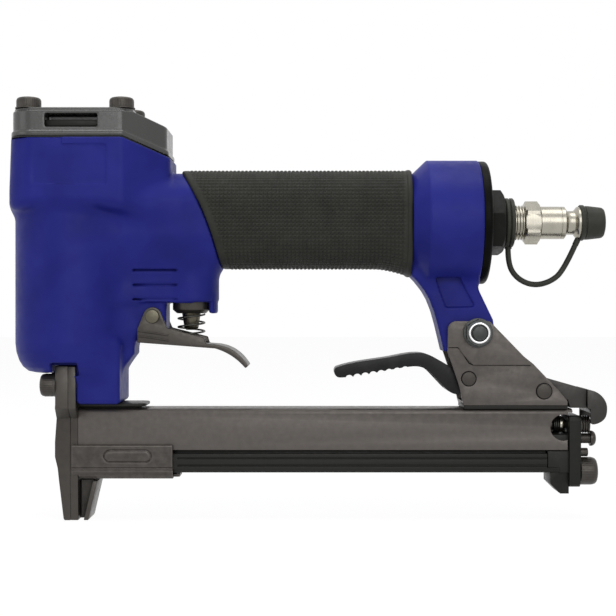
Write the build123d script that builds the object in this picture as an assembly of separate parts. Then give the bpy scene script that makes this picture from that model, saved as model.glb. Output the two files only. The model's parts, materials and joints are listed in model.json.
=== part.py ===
"""Pneumatic fine-wire stapler: body, driver, valve, trigger, sliding magazine, latch and air plug.

Frame: origin at the middle of the nose's contact face, on the drive line. +X runs back to the
air inlet, +Y to the tool's left, +Z up. Millimetres.
"""
import os

from build123d import *

# ---------------------------------------------------------------- clearances
FIT = 0.05            # radial running fit of round pairs
GAP = 0.3             # flat gap between pieces that move past each other
SEAL_NIP = 0.02       # an O-ring stands this far off the walls it closes

# ---------------------------------------------------------------- staple track and magazine
BLADE_THICK = 1.0
BLADE_WIDTH = 12.6
RAIL_Z = 17.6         # underside of the sliding rail above the nose face
RAIL_HEIGHT = 20.6
RAIL_FLOOR = 1.8
RAIL_WALL = 1.2
CORE_HALF = 5.5
CORE_SLOT = 1.6       # half width of the slot along the core's top
FLANGE_HEIGHT = 7.0
FLANGE_WALL = 1.6
LEG_ROOM = 0.7        # slot for the staple legs beside the core
CROWN_ROOM = 1.6      # height over the core for staple crowns and pusher
CHANNEL_WALL = 1.4
CHANNEL_SIDE_GAP = 0.4
CHANNEL_SKIRT_GAP = 1.4
CHANNEL_REAR = 185.8
CHANNEL_SIDE_REAR = 184.0
NOTCH_R = 4.8
RAIL_REAR = 181.0
RAIL_CORE_REAR = 176.5
RAIL_GROOVE_X = 40.0
SLIDE_TRAVEL = 150.0
PUSHER_PLATE = 0.9
PUSHER_LENGTH = 24.0
PUSHER_NOSE = 1.3
ROD_R = 1.5
ROD_Z_UP = 12.0       # guide rod above the rail's underside
PUSHER_SPRING_R = 2.6
PUSHER_WIRE_R = 0.35
PUSHER_COILS = 26
CLIP_SHEET = 1.2
CLIP_OVERLAP = 2.2    # clip's front end over the driver guide
CLIP_LENGTH = 37.2
CLIP_DROP = 2.2       # clip's underside below the rail's
CLIP_RISE = 10.2
CLIP_BEAD_LENGTH = 17.0
CLIP_BEAD_WIDTH = 4.0

# ---------------------------------------------------------------- nose
FRONT_PLATE_THICK = 4.65
FRONT_PLATE_BELLY = 1.0
GUIDE_THICK = 2.85
YOKE_HALF = 13.0      # half width of the plates where they bolt to the neck
YOKE_HEIGHT = 13.9    # from the neck's underside to the plates' top
FOOT_HALF = 7.2
FIN_DEPTH = 7.0
FIN_LEAN = 3.4
FIN_HEIGHT = 14.5
FIN_STRIP = 1.7
FIN_WEB_HALF = 1.5
NOSE_SCREW_R = 2.5
NOSE_SCREW_Y = 9.6
NOSE_SCREW_UP = 6.9
NOSE_HEAD_R = 4.25
NOSE_HEAD_LENGTH = 5.0
NOSE_SCREW_LENGTH = 18.0
NOSE_WASHER_R = 4.3
WASHER_THICK = 0.8

# ---------------------------------------------------------------- body casting
TAB_THICK = 2.0
TAB_FLANGE = 1.1      # wide upper part of the tab
TAB_LENGTH = 24.9
NECK_DEPTH = 16.0
NECK_HEIGHT = 11.4
BARREL_R = 21.0
BARREL_FLOOR = 5.4
BARREL_EDGE = 7.0
BUMPER_HEIGHT = 5.5
PISTON_HEIGHT = 12.0
TIP_LIFT = 5.3        # blade tip above the core at rest
SLEEVE_R = 16.0
SLEEVE_WALL = 2.0
CHAMBER_GAP = 0.8     # air gap around the sleeve
SLEEVE_OVER = 1.0     # sleeve above the resting piston
HEAD_RISE = 17.7      # head joint face above the sleeve
HEAD_HALF = 22.3
HEAD_FRONT = -22.2
HEAD_BOW = 59.5       # radius of the shallow arc across the head's front
HEAD_REAR = 37.8
HEAD_REAR_HALF = 12.0
HEAD_BREAK_X = 21.5   # where the top starts to fall and the sides start to close in
HEAD_FALL = 7.3
HEAD_CORNER = 6.7
HEAD_DEPTH = 25.2     # side walls of the head below its joint face
GASKET = 0.5
CAP_HEIGHT = 10.4
CAP_INSET = 1.3
CAP_FLANGE = 2.0      # height of the flange round the cap's foot
CAP_FLANGE_OUT = 0.6
CAP_SCREW_R = 2.5
CAP_SCREW_Y = 15.5
CAP_SCREW_FRONT_X = -13.1
CAP_SCREW_REAR_X = 20.6
CAP_HEAD_R = 4.5
CAP_HEAD_HEIGHT = 3.7
CAP_SCREW_LENGTH = 26.0
VENT_FRONT = -6.3
VENT_REAR = 12.6
VENT_LOW = 3.3        # foot of the exhaust slots above the cap's joint
VENT_DEPTH = 7.0
LABEL_FRONT = -10.6
LABEL_REAR = 16.0
LABEL_DEPTH = 0.35

# ---------------------------------------------------------------- head valve
VALVE_DISC = 7.0
VALVE_STEM_R = 6.0
VALVE_STEM_LENGTH = 12.0
VALVE_LIFT = 3.0
VALVE_SPRING_R = 11.0
VALVE_WIRE_R = 0.8
VALVE_COILS = 3

# ---------------------------------------------------------------- handle, grip and inlet
HANDLE_RISE = 51.2    # handle axis above the chamber floor
GRIP_HALF_Y = 16.0
GRIP_HALF_Z = 18.2
GRIP_CORNER = 13.0
GRIP_THICK = 2.6
GRIP_REAR = 126.5
GRIP_FLARE_X = 116.0
GRIP_FLARE = 3.0
GRIP_EDGE_TOP = 40.4   # X of the grip's front edge at its top, middle and bottom
GRIP_EDGE_MIDDLE = 51.4
GRIP_EDGE_LOW = 56.4
SHOULDER_FRONT = 20.0
CORE_FRONT = 30.0
SHOULDER_DROP = 1.0   # casting in front of the grip lies this much lower
BULB_FRONT = 127.6
BULB_REAR = 151.5
BULB_R = 23.2
BULB_CHAMFER = 4.5
INLET_DROP = 0.9      # inlet axis under the handle axis
AIR_BORE_R = 9.5
BULB_BORE_R = 14.5
BULB_BORE_DEPTH = 16.0
TAIL_THICK = 3.2
TAIL_INSET = 0.3      # tail cap's rim inside the bulb's
TAIL_SPIGOT = 5.0
TAIL_SCREW_CIRCLE = 18.6
TAIL_SCREW_R = 1.75
TAIL_SCREW_LENGTH = 11.0
BUSHING_FLATS = 21.7
BUSHING_LENGTH = 6.3
BUSHING_SPIGOT_R = 8.5
BUSHING_TURN = 17.0
THREAD_R = 6.55
RING_R = 9.25
RING_LENGTH = 3.4
PLUG_THREAD_LENGTH = 11.0
PLUG_FLATS = 14.0
PLUG_HEX_LENGTH = 5.6
PLUG_R = 6.1
PLUG_LENGTH = 9.5
PLUG_GROOVE_R = 4.5
PLUG_NOSE_R = 4.4
PLUG_NOSE_LENGTH = 7.3
PLUG_BORE_R = 3.0
DUST_R = 6.7
DUST_TIP_R = 5.8
DUST_LENGTH = 9.2
DUST_TRAVEL = 20.0
TETHER_R = 1.05
TETHER_STUB = 1.6     # stub between the dust cap's rim and the cord

# ---------------------------------------------------------------- trigger and its valve
TRIGGER_X = 31.0
TRIGGER_DROP = 35.9   # trigger pin under the handle axis
TRIGGER_SHEET = 1.5
TRIGGER_WEB_DROP = 9.6
TRIGGER_REACH = 34.6   # pin to the curled tip
TRIGGER_PIN_R = 2.0
TRIGGER_HEAD_R = 2.45
BOSS_HALF = 8.0
BOSS_REACH = 4.8
VALVE_X = 44.5
HOUSING_HALF = 13.0
HOUSING_REAR = 54.5
HOUSING_DROP = 30.6   # underside of the trigger housing below the handle axis
GROOVE_FRONT = 23.6
GROOVE_REAR = 40.4
GROOVE_PITCH = 5.4
BUSH_R = 7.0
BUSH_OUT = 4.2
BUSH_IN = 17.0
PIN_VALVE_R = 2.5
PIN_VALVE_FOOT_R = 4.0
PIN_VALVE_REACH = 10.4
PIN_VALVE_HEAD_R = 4.6
PIN_VALVE_LIFT = 2.0
TRIGGER_SPRING_R = 4.9
TRIGGER_WIRE_R = 0.35
TRIGGER_COILS = 3

# ---------------------------------------------------------------- rear bracket, lever and hook
BRACKET_FRONT = 139.5
BRACKET_REAR = 183.6
BRACKET_INNER = 8.1
BRACKET_SHEET = 1.4
BRACKET_BASE = 1.4
SADDLE_THICK = 1.4
SADDLE_HALF = 9.0
LEG_HALF = 8.0
LEG_PANEL_DEPTH = 0.7
BOLT_X = 150.5
BOLT_UP = 28.1        # leg bolt above the channel's top
BOLT_R = 2.5
LEG_FOOT_DROP = 6.9   # leg's lower end below the bolt
NUT_FLATS = 9.0
NUT_HEIGHT = 4.0
NUT_RING_R = 3.95
BOLT_WASHER_R = 5.4
LEVER_X = 147.3
LEVER_UP = 11.2
LEVER_REACH = 49.4      # pin to the finger end
LEVER_PIN_R = 2.3
LEVER_HALF = 7.0
LEVER_SPRING_Y = 3.0   # torsion spring's inner end beside the lever's hub
LEVER_SPRING_R = 3.2
LEVER_WIRE_R = 0.4
LEVER_COILS = 4
LEVER_SPRING_TAIL = 9.0   # reach of the tail under the lever's arm
LEVER_SPRING_DROP = 1.6
FINGER_RIBS = 8
FINGER_RIB_PITCH = 2.95
FINGER_RIB_R = 1.5
HOOK_X = 175.0
HOOK_UP = 6.6
HOOK_REACH = 23.0       # pin to the rear of the hood
HOOK_PIN_R = 2.5
HOOK_HALF = 7.4
HOOK_HOOD_HALF = 10.3
HOOK_EAR_INNER = 8.9
END_FOOT_X = 177.8
END_FOOT_DROP = 7.8
END_FOOT_CUT = 3.6
END_PLATE_X = 184.6
END_PLATE_THICK = 4.0
END_PAD = 1.2         # raised pad the end plate's fittings sit on
END_PAD_HALF = 4.0
END_PLATE_HALF = 8.4
END_PLATE_LOW = -5.3
END_PLATE_HIGH = 21.0
END_SCREW_R = 3.0
END_SCREW_DROP = 0.2
END_HEAD_R = 5.2
END_HEAD_LENGTH = 6.4
STUD_R = 1.6
STUD_UP = 17.3        # latch stud above the rail's underside
LATCH_NUT_R = 3.3
LATCH_NUT_LENGTH = 3.6
LOW_STUD_UP = 6.8
BUFFER_R = 3.1
BUTTON_R = 2.9
BUTTON_NECK_R = 1.9
BUTTON_LENGTH = 2.2

# ---------------------------------------------------------------- worked out from the sizes above
SPLIT_X = BLADE_THICK / 2 + FIT
PLATE_FRONT = SPLIT_X - FRONT_PLATE_THICK
GUIDE_REAR = SPLIT_X + GUIDE_THICK
RAIL_TOP = RAIL_Z + RAIL_HEIGHT
FLANGE_IN = CORE_HALF + LEG_ROOM
FLANGE_OUT = FLANGE_IN + FLANGE_WALL
CHANNEL_HALF = FLANGE_OUT + CHANNEL_SIDE_GAP
CHANNEL_IN = CHANNEL_HALF - CHANNEL_WALL
CHANNEL_ROOF = RAIL_TOP + CROWN_ROOM
CHANNEL_TOP = CHANNEL_ROOF + CHANNEL_WALL
CHANNEL_SKIRT = RAIL_Z + FLANGE_HEIGHT + CHANNEL_SKIRT_GAP
ROD_Z = RAIL_Z + ROD_Z_UP
NECK_Z = CHANNEL_TOP + TAB_THICK
BARREL_Z = NECK_Z + NECK_HEIGHT
CHAMBER_Z = BARREL_Z + BARREL_FLOOR
PLATES_TOP = NECK_Z + YOKE_HEIGHT
BUMPER_TOP = CHAMBER_Z + BUMPER_HEIGHT
TIP_Z = RAIL_TOP + TIP_LIFT
STROKE = TIP_Z
PISTON_Z = BUMPER_TOP + STROKE
SLEEVE_TOP = PISTON_Z + PISTON_HEIGHT + SLEEVE_OVER
SLEEVE_BORE = SLEEVE_R - SLEEVE_WALL
CHAMBER_R = SLEEVE_R + CHAMBER_GAP
HEAD_Z = SLEEVE_TOP + HEAD_RISE
CAP_Z = HEAD_Z + GASKET
CAP_TOP = CAP_Z + CAP_HEIGHT
HANDLE_Z = CHAMBER_Z + HANDLE_RISE
INLET_Z = HANDLE_Z - INLET_DROP
HOUSING_Z = HANDLE_Z - HOUSING_DROP
TRIGGER_Z = HANDLE_Z - TRIGGER_DROP
TRIGGER_BASE = TRIGGER_Z - TRIGGER_WEB_DROP
TAIL_R = BULB_R - TAIL_INSET
TAIL_REAR = BULB_REAR + TAIL_THICK
BUSHING_REAR = TAIL_REAR + BUSHING_LENGTH
RING_X = BUSHING_REAR + 0.5
HEX_X = BUSHING_REAR + PLUG_THREAD_LENGTH - 3.0
PLUG_X = HEX_X + PLUG_HEX_LENGTH
PLUG_NECK_X = PLUG_X + PLUG_LENGTH
COLLAR_X = PLUG_NECK_X + 4.7
NOSE_X = COLLAR_X + 1.5
DUST_X = COLLAR_X + 0.9
BRACKET_Z = CHANNEL_TOP + SADDLE_THICK
BRACKET_FLOOR = BRACKET_Z + BRACKET_BASE
BRACKET_OUTER = BRACKET_INNER + BRACKET_SHEET
LEG_PLATE_OUTER = BRACKET_OUTER + BRACKET_SHEET
BOLT_Z = CHANNEL_TOP + BOLT_UP
LEVER_Z = CHANNEL_TOP + LEVER_UP
HOOK_Z = CHANNEL_TOP + HOOK_UP
END_PLATE_REAR = END_PLATE_X + END_PLATE_THICK
END_SEAT = END_PLATE_REAR + END_PAD
END_PLATE_TOP = RAIL_Z + END_PLATE_HIGH
STUD_Z = RAIL_Z + STUD_UP
LATCH_NUT_REAR = END_SEAT + LATCH_NUT_LENGTH
LOW_STUD_Z = RAIL_Z + LOW_STUD_UP
END_SCREW_Z = RAIL_Z - END_SCREW_DROP
LEG_FOOT_Z = BOLT_Z - LEG_FOOT_DROP


# ---------------------------------------------------------------- shape helpers
def block(x0, x1, y0, y1, z0, z1):
    """A box between two corners."""
    return Pos((x0 + x1) / 2, (y0 + y1) / 2, (z0 + z1) / 2) * Box(x1 - x0, y1 - y0, z1 - z0)


def wide(x0, x1, half, z0, z1):
    """A box centred on the tool's middle plane."""
    return block(x0, x1, -half, half, z0, z1)


def bar_x(r, x0, x1, z, y=0.0):
    """A round bar along X."""
    return Pos((x0 + x1) / 2, y, z) * Rot(0, 90, 0) * Cylinder(r, x1 - x0)


def bar_y(r, half, x, z):
    """A round bar along Y, centred on the middle plane."""
    return Pos(x, 0, z) * Rot(90, 0, 0) * Cylinder(r, 2 * half)


def bar_z(r, z0, z1, x=0.0, y=0.0):
    """A round bar along Z."""
    return Pos(x, y, (z0 + z1) / 2) * Cylinder(r, z1 - z0)


def rod(r, start, end):
    """A round bar between two points."""
    along = Vector(*end) - Vector(*start)
    return Plane(start, z_dir=along) * Pos(0, 0, along.length / 2) * Cylinder(r, along.length)


def line(*points):
    """Straight edges through (x, z) points of the side view."""
    return Polyline([(x, 0, z) for x, z in points])


def arc(start, middle, end):
    """An arc through three (x, z) points of the side view."""
    return ThreePointArc(*[(x, 0, z) for x, z in (start, middle, end)])


def curve(*points):
    """A smooth edge through (x, z) points of the side view."""
    return Spline([(x, 0, z) for x, z in points])


def side_solid(edges, y0, y1):
    """A side-view outline given thickness from y0 to y1."""
    return Pos(0, y0, 0) * extrude(make_face(edges), y1 - y0, dir=(0, 1, 0))


def side_wide(edges, half):
    """A side-view outline given thickness on both sides of the middle plane."""
    return side_solid(edges, -half, half)


def closed(*points):
    """A closed polygon of the side view."""
    return Polyline([(x, 0, z) for x, z in points], close=True)


def turned_x(points, z):
    """A solid of revolution about the X direction at height z, from (x, radius) points."""
    face = make_face(Polyline([(x, 0, z + r) for x, r in points], close=True))
    return revolve(face, axis=Axis((0, 0, z), (1, 0, 0)))


def turned_z(points, x=0.0, y=0.0):
    """A solid of revolution about the Z direction, from (radius, z) points."""
    face = make_face(Polyline([(r, 0, z) for r, z in points], close=True))
    return Pos(x, y, 0) * revolve(face, axis=Axis.Z)


def hex_x(flats, x0, x1, z, turn=0.0, y=0.0):
    """A hexagonal bar along X, turned about its axis."""
    shape = extrude(RegularPolygon(flats / 2, 6, major_radius=False), x1 - x0)
    return Pos(x0, y, z) * Rot(turn, 0, 0) * Rot(0, 90, 0) * shape


def spring_z(r, wire_r, z0, z1, coils, x=0.0, y=0.0):
    """A coil spring along Z between two seats."""
    height = z1 - z0 - 2 * wire_r
    path = Helix(pitch=height / coils, height=height, radius=r)
    section = Plane(path @ 0, z_dir=path % 0) * Circle(wire_r)
    return Pos(x, y, z0 + wire_r) * sweep(section, path)


def spring_x(r, wire_r, x0, x1, coils, z):
    """A coil spring along X between two seats."""
    return Pos(x0, 0, z) * Rot(0, 90, 0) * spring_z(r, wire_r, 0, x1 - x0, coils)


def mirrored(shape):
    """The same piece on the other side of the middle plane."""
    return mirror(shape, about=Plane.XZ)


def shaped(points, pivot_x, pivot_z, reach):
    """Outline points given in hundredths of a piece's reach from its pivot."""
    return [(pivot_x + reach * u / 100, pivot_z + reach * w / 100) for u, w in points]


def pair(shape):
    """A piece and its mirror image, as two solids."""
    return Compound(children=[shape, mirrored(shape)])


def group(shapes):
    """Several separate solids kept as one node."""
    return Compound(children=list(shapes))


def grip_section(x, half_y, half_z, corner, drop=0.0):
    """Rounded section of the handle at x, with its underside lowered by drop."""
    centre_z = HANDLE_Z - drop / 2
    return Plane.YZ.offset(x) * Pos(0, centre_z) * RectangleRounded(2 * half_y, 2 * half_z + drop, corner)


def handle_solid(shrink, x0):
    """The handle from x0 to its rear end, its surface shrink inside the grip's."""
    half_y = GRIP_HALF_Y - shrink
    half_z = GRIP_HALF_Z - shrink
    corner = GRIP_CORNER - shrink
    straight = extrude(grip_section(x0, half_y, half_z, corner), GRIP_FLARE_X - x0)
    flare = loft([
        grip_section(GRIP_FLARE_X, half_y, half_z, corner),
        grip_section(GRIP_REAR, half_y, half_z, corner, GRIP_FLARE),
    ])
    return straight + flare


def ahead_of_grip(offset):
    """Everything in front of the grip's curved, slanted front edge."""
    top = (GRIP_EDGE_TOP + offset, HANDLE_Z + GRIP_HALF_Z + 1.5)
    middle = (GRIP_EDGE_MIDDLE + offset, HANDLE_Z - 1.0)
    bottom = (GRIP_EDGE_LOW + offset, HANDLE_Z - GRIP_HALF_Z - 1.5)
    back = line(bottom, (0, bottom[1]), (0, top[1]), top)
    return side_wide([arc(top, middle, bottom), back], GRIP_HALF_Y + 2)


# ---------------------------------------------------------------- body casting
def head_plan(inset, z0, z1):
    """Plan outline of the head between two heights: shallow bow in front, closing in to the rear."""
    half = HEAD_HALF - inset
    corner_x = HEAD_FRONT + HEAD_BOW - ((HEAD_BOW - inset) ** 2 - half ** 2) ** 0.5
    rear = HEAD_REAR - 0.3 * inset
    rear_half = HEAD_REAR_HALF - 0.7 * inset
    bow = ThreePointArc((corner_x, -half), (HEAD_FRONT + inset, 0), (corner_x, half))
    rest = Polyline([
        (corner_x, half), (HEAD_BREAK_X, half), (rear, rear_half), (rear, -rear_half),
        (HEAD_BREAK_X, -half), (corner_x, -half),
    ])
    shape = Pos(0, 0, z0) * extrude(make_face([bow, rest]), z1 - z0)
    corners = shape.edges().filter_by(Axis.Z).group_by(Axis.X)[0]
    shape = fillet(corners, HEAD_CORNER - inset)
    return fillet(shape.edges().filter_by(Axis.Z).group_by(Axis.X)[-1], HEAD_CORNER / 2)


def head_side(top, bottom_points):
    """Side outline of a layer of the head: a flat top that falls away behind the break."""
    points = [(HEAD_FRONT - 1, top), (HEAD_BREAK_X, top), (HEAD_REAR + 1, top - HEAD_FALL)]
    return side_wide([closed(*points, *bottom_points)], HEAD_HALF + 2)


def housing():
    """The one-piece casting: head, barrel, neck, trigger housing, handle core, bulb and leg."""
    under = HEAD_Z - HEAD_DEPTH
    head = head_plan(0, under - 6, HEAD_Z) & head_side(HEAD_Z, [
        (HEAD_REAR + 1, under - 3.5), (26, under - 2.5), (12, under), (-8, under),
        (-BARREL_R + 0.4, under - 4), (HEAD_FRONT - 0.2, under + 2), (HEAD_FRONT - 1, under + 2),
    ])
    barrel = bar_z(BARREL_R, BARREL_Z, HEAD_Z - 8)
    barrel = fillet(barrel.edges().group_by(Axis.Z)[0], BARREL_EDGE)
    neck = wide(GUIDE_REAR, GUIDE_REAR + NECK_DEPTH, YOKE_HALF, NECK_Z, BARREL_Z + BARREL_EDGE)
    neck = fillet(neck.edges().filter_by(Axis.Z).group_by(Axis.X)[-1], 3)
    rib_rear = BARREL_R + 3.1
    rib = side_wide([closed(
        (0, HOUSING_Z + 2), (0, BARREL_Z), (GUIDE_REAR + NECK_DEPTH, BARREL_Z),
        (rib_rear, BARREL_Z + 7), (rib_rear, HOUSING_Z + 2),
    )], BOSS_HALF)
    box = wide(6, HOUSING_REAR, HOUSING_HALF, HOUSING_Z, HANDLE_Z)
    box = fillet(box.edges().filter_by(Axis.Z).group_by(Axis.X)[-1], 8)
    box = fillet(box.edges().group_by(Axis.Z)[0], 1.2)
    boss = wide(10, TRIGGER_X + BOSS_REACH, BOSS_HALF, TRIGGER_Z - 6.5, HOUSING_Z + 1)
    boss = fillet(boss.edges().filter_by(Axis.Z).group_by(Axis.X)[-1], 2.5)
    lip = wide(BUSH_R + VALVE_X + 0.3, HOUSING_REAR - 0.4, 6, HOUSING_Z - BUSH_OUT, HOUSING_Z + 2)
    lip = fillet(lip.edges().filter_by(Axis.Y).group_by(Axis.Z)[0].sort_by(Axis.X)[-1], 2.2)
    shoulder = extrude(grip_section(SHOULDER_FRONT, GRIP_HALF_Y - SHOULDER_DROP, GRIP_HALF_Z - SHOULDER_DROP,
                                    GRIP_CORNER - SHOULDER_DROP), GRIP_EDGE_LOW - SHOULDER_FRONT)
    shoulder &= ahead_of_grip(-GAP)
    core = handle_solid(GRIP_THICK, CORE_FRONT)
    bulb = turned_x([
        (GRIP_REAR, 0), (GRIP_REAR, BULB_R - BULB_CHAMFER - 1), (BULB_FRONT, BULB_R - BULB_CHAMFER),
        (BULB_FRONT + BULB_CHAMFER, BULB_R), (BULB_REAR, BULB_R), (BULB_REAR, 0),
    ], INLET_Z)
    body = head + barrel + neck + rib + box + boss + lip + shoulder + core + bulb + leg()
    return body - housing_bores() - housing_marks()


def leg():
    """Rear leg down to the magazine bracket, with a shallow panel sunk in each side."""
    top_front = (GRIP_REAR + 0.1, INLET_Z - 19.9)
    knee = (BOLT_X - 14.5, BOLT_Z + 3.2)
    shape = side_wide([
        arc(top_front, (132.8, INLET_Z - 28.4), knee),
        line(knee, (BOLT_X - 12.1, LEG_FOOT_Z), (BOLT_X + 7.5, LEG_FOOT_Z), (BOLT_X + 6.1, BOLT_Z + 4.7),
             (BULB_REAR - 1.9, INLET_Z - 22.2), (BULB_REAR - 5.5, INLET_Z - 10),
             (GRIP_REAR + 0.1, INLET_Z - 10), top_front),
    ], LEG_HALF)
    panel = side_solid([closed(
        (BULB_REAR - 16.5, INLET_Z - 20.8), (BULB_REAR - 7.7, INLET_Z - 20.8),
        (BOLT_X - 0.7, BOLT_Z + 9.7), (BOLT_X - 11.3, BOLT_Z + 9.5),
    )], -LEG_HALF - 1, -LEG_HALF + LEG_PANEL_DEPTH)
    return shape - panel - mirrored(panel) - bar_y(BOLT_R + FIT, LEG_HALF + 1, BOLT_X, BOLT_Z)


def housing_bores():
    """Everything machined out of the casting."""
    bores = bar_z(CHAMBER_R, CHAMBER_Z, HEAD_Z + 1)
    bores += block(-BLADE_THICK, BLADE_THICK, -BLADE_WIDTH / 2 - 0.4, BLADE_WIDTH / 2 + 0.4,
                   BARREL_Z - 1, CHAMBER_Z + 1)
    bores += wide(PLATE_FRONT, GUIDE_REAR, YOKE_HALF, NECK_Z - 1, PLATES_TOP)
    bores += pair(block(PLATE_FRONT - 0.7, GUIDE_REAR + 1.4, YOKE_HALF, BARREL_R + 1, BARREL_Z - 1,
                        PLATES_TOP + 1.6))
    bores += bar_x(AIR_BORE_R, 10, BULB_REAR + 1, INLET_Z)
    bores += bar_x(BULB_BORE_R, BULB_REAR - BULB_BORE_DEPTH, BULB_REAR + 1, INLET_Z)
    bores += bar_z(BUSH_R, HOUSING_Z - 6, HOUSING_Z + BUSH_IN, VALVE_X)
    bores += bar_z(BUSH_R - 2, HOUSING_Z, INLET_Z, VALVE_X)
    bores += bar_y(TRIGGER_PIN_R, BOSS_HALF + 1, TRIGGER_X, TRIGGER_Z)
    for x, y in cap_screw_places():
        bores += bar_z(CAP_SCREW_R, CAP_TOP - CAP_SCREW_LENGTH, HEAD_Z + 1, x, y)
    for y in (-NOSE_SCREW_Y, NOSE_SCREW_Y):
        bores += bar_x(NOSE_SCREW_R, 0, nose_screw_end(), NECK_Z + NOSE_SCREW_UP, y)
    for y, z in tail_screw_places():
        bores += bar_x(TAIL_SCREW_R, TAIL_REAR - TAIL_SCREW_LENGTH, BULB_REAR + 1, z, y)
    return bores


def housing_marks():
    """Shallow bare panel on the head and three grooves on the trigger housing, on both sides."""
    panel = block(LABEL_FRONT, LABEL_REAR, -HEAD_HALF - 1, -HEAD_HALF + LABEL_DEPTH, HEAD_Z - 16.8,
                  HEAD_Z - 2.6)
    marks = panel + mirrored(panel)
    for step in range(3):
        z = HANDLE_Z - GRIP_HALF_Z - GROOVE_PITCH * step
        groove = block(GROOVE_FRONT, GROOVE_REAR, -HOUSING_HALF - 1, -HOUSING_HALF + 0.6, z - 0.4, z + 0.4)
        marks += groove + mirrored(groove)
    return marks


def cap_screw_places():
    """Plan positions of the four cap screws."""
    return [(x, y) for x in (CAP_SCREW_FRONT_X, CAP_SCREW_REAR_X) for y in (-CAP_SCREW_Y, CAP_SCREW_Y)]


def tail_screw_places():
    """Positions (y, z) of the four flush screws in the tail cap."""
    reach = TAIL_SCREW_CIRCLE * 0.7071
    return [(y, INLET_Z + z) for y in (-reach, reach) for z in (-reach, reach)]


def nose_screw_end():
    """X of the nose screws' tips."""
    return PLATE_FRONT - WASHER_THICK + NOSE_SCREW_LENGTH


# ---------------------------------------------------------------- cylinder cap and its parts
def cylinder_cap():
    """Cast cap over the cylinder with two exhaust slots and the head valve's guide pocket."""
    floor = [(HEAD_REAR + 1, CAP_Z - HEAD_FALL), (HEAD_BREAK_X, CAP_Z), (HEAD_FRONT - 1, CAP_Z)]
    profile = side_wide([closed(
        (HEAD_FRONT - 1, CAP_TOP), (HEAD_BREAK_X + 4.5, CAP_TOP), (HEAD_BREAK_X + 7, CAP_TOP - 4.2),
        (HEAD_REAR + 1, CAP_TOP - 9.4), *floor,
    )], HEAD_HALF + 2)
    cap = head_plan(CAP_INSET, CAP_Z - HEAD_FALL - 2, CAP_TOP) & profile
    band = side_wide([closed(*floor, *[(x, z + CAP_FLANGE) for x, z in reversed(floor)])], HEAD_HALF + 2)
    cap += head_plan(CAP_INSET - CAP_FLANGE_OUT, CAP_Z - HEAD_FALL - 2, CAP_Z + CAP_FLANGE) & band
    for side in (-1, 1):
        vent = block(VENT_FRONT, VENT_REAR, 0, VENT_DEPTH, CAP_Z + VENT_LOW, CAP_TOP - 2.1)
        cap -= Pos(0, side * (HEAD_HALF - CAP_INSET) - (VENT_DEPTH if side > 0 else 0), 0) * vent
    cap -= bar_z(VALVE_STEM_R + FIT, CAP_Z - 1, valve_stem_top() + VALVE_LIFT + 0.8)
    for x, y in cap_screw_places():
        cap -= bar_z(CAP_SCREW_R, CAP_Z - 1, CAP_TOP + 1, x, y)
    return cap


def exhaust_bar():
    """Deflector bar across each exhaust slot."""
    y = HEAD_HALF - CAP_INSET - 2.2
    low = CAP_Z + VENT_LOW + 0.4
    return pair(block(VENT_FRONT, VENT_REAR, -y, -y + 1.4, low, low + 2.4))


def cap_gasket():
    """Flat gasket between head and cap."""
    top = [(HEAD_FRONT - 1, CAP_Z), (HEAD_BREAK_X, CAP_Z), (HEAD_REAR + 1, CAP_Z - HEAD_FALL)]
    under = [(x, z - GASKET) for x, z in reversed(top)]
    layer = side_wide([closed(*top, *under)], HEAD_HALF + 2)
    sheet = head_plan(CAP_INSET - CAP_FLANGE_OUT, CAP_Z - HEAD_FALL - 4, CAP_Z) & layer
    sheet -= bar_z(CHAMBER_R, HEAD_Z - 1, CAP_Z + 1)
    for x, y in cap_screw_places():
        sheet -= bar_z(CAP_SCREW_R, HEAD_Z - 1, CAP_Z + 1, x, y)
    return sheet


def socket_screw_z(r, head_r, head_height, length, z_seat, x, y):
    """Socket head screw along Z, its head seated at z_seat."""
    shank = bar_z(r, z_seat - length, z_seat, x, y)
    head = bar_z(head_r, z_seat, z_seat + head_height, x, y)
    head = fillet(head.edges().group_by(Axis.Z)[-1], head_r / 6)
    socket = Pos(x, y, z_seat + head_height * 0.4) * extrude(
        RegularPolygon(head_r * 0.48, 6, major_radius=False), head_height)
    return shank + head - socket


def socket_screw_x(r, head_r, head_length, length, x_seat, z, y, side):
    """Socket head screw along X, its head on the side's end of x_seat."""
    along = Rot(0, 90 * side, 0)
    return Pos(x_seat, y, z) * along * socket_screw_z(r, head_r, head_length, length, 0, 0, 0)


def cap_screws():
    """Four socket head screws that hold the cap."""
    seat = CAP_TOP + WASHER_THICK / 2
    length = CAP_SCREW_LENGTH + WASHER_THICK / 2
    return group([socket_screw_z(CAP_SCREW_R, CAP_HEAD_R, CAP_HEAD_HEIGHT, length, seat, x, y)
                  for x, y in cap_screw_places()])


def cap_screw_washers():
    """A thin washer under each cap screw."""
    return group([bar_z(CAP_HEAD_R + 0.4, CAP_TOP, CAP_TOP + WASHER_THICK / 2, x, y)
                  - bar_z(CAP_SCREW_R, CAP_TOP - 1, CAP_TOP + 1, x, y) for x, y in cap_screw_places()])


# ---------------------------------------------------------------- cylinder, driver and head valve
def o_ring_z(outer_r, inner_r, z, x=0.0):
    """O-ring about Z that just fills an annular gap."""
    wire = (outer_r - inner_r) / 2 - SEAL_NIP
    return Pos(x, 0, z) * Torus((outer_r + inner_r) / 2, wire)


def cylinder_sleeve():
    """Thin cylinder liner the piston runs in."""
    return bar_z(SLEEVE_R, CHAMBER_Z, SLEEVE_TOP) - bar_z(SLEEVE_BORE, CHAMBER_Z - 1, SLEEVE_TOP + 1)


def sleeve_seals():
    """Two O-rings between the liner and the casting."""
    return group([o_ring_z(CHAMBER_R, SLEEVE_R, z) for z in (CHAMBER_Z + 6, SLEEVE_TOP - 6)])


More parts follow.
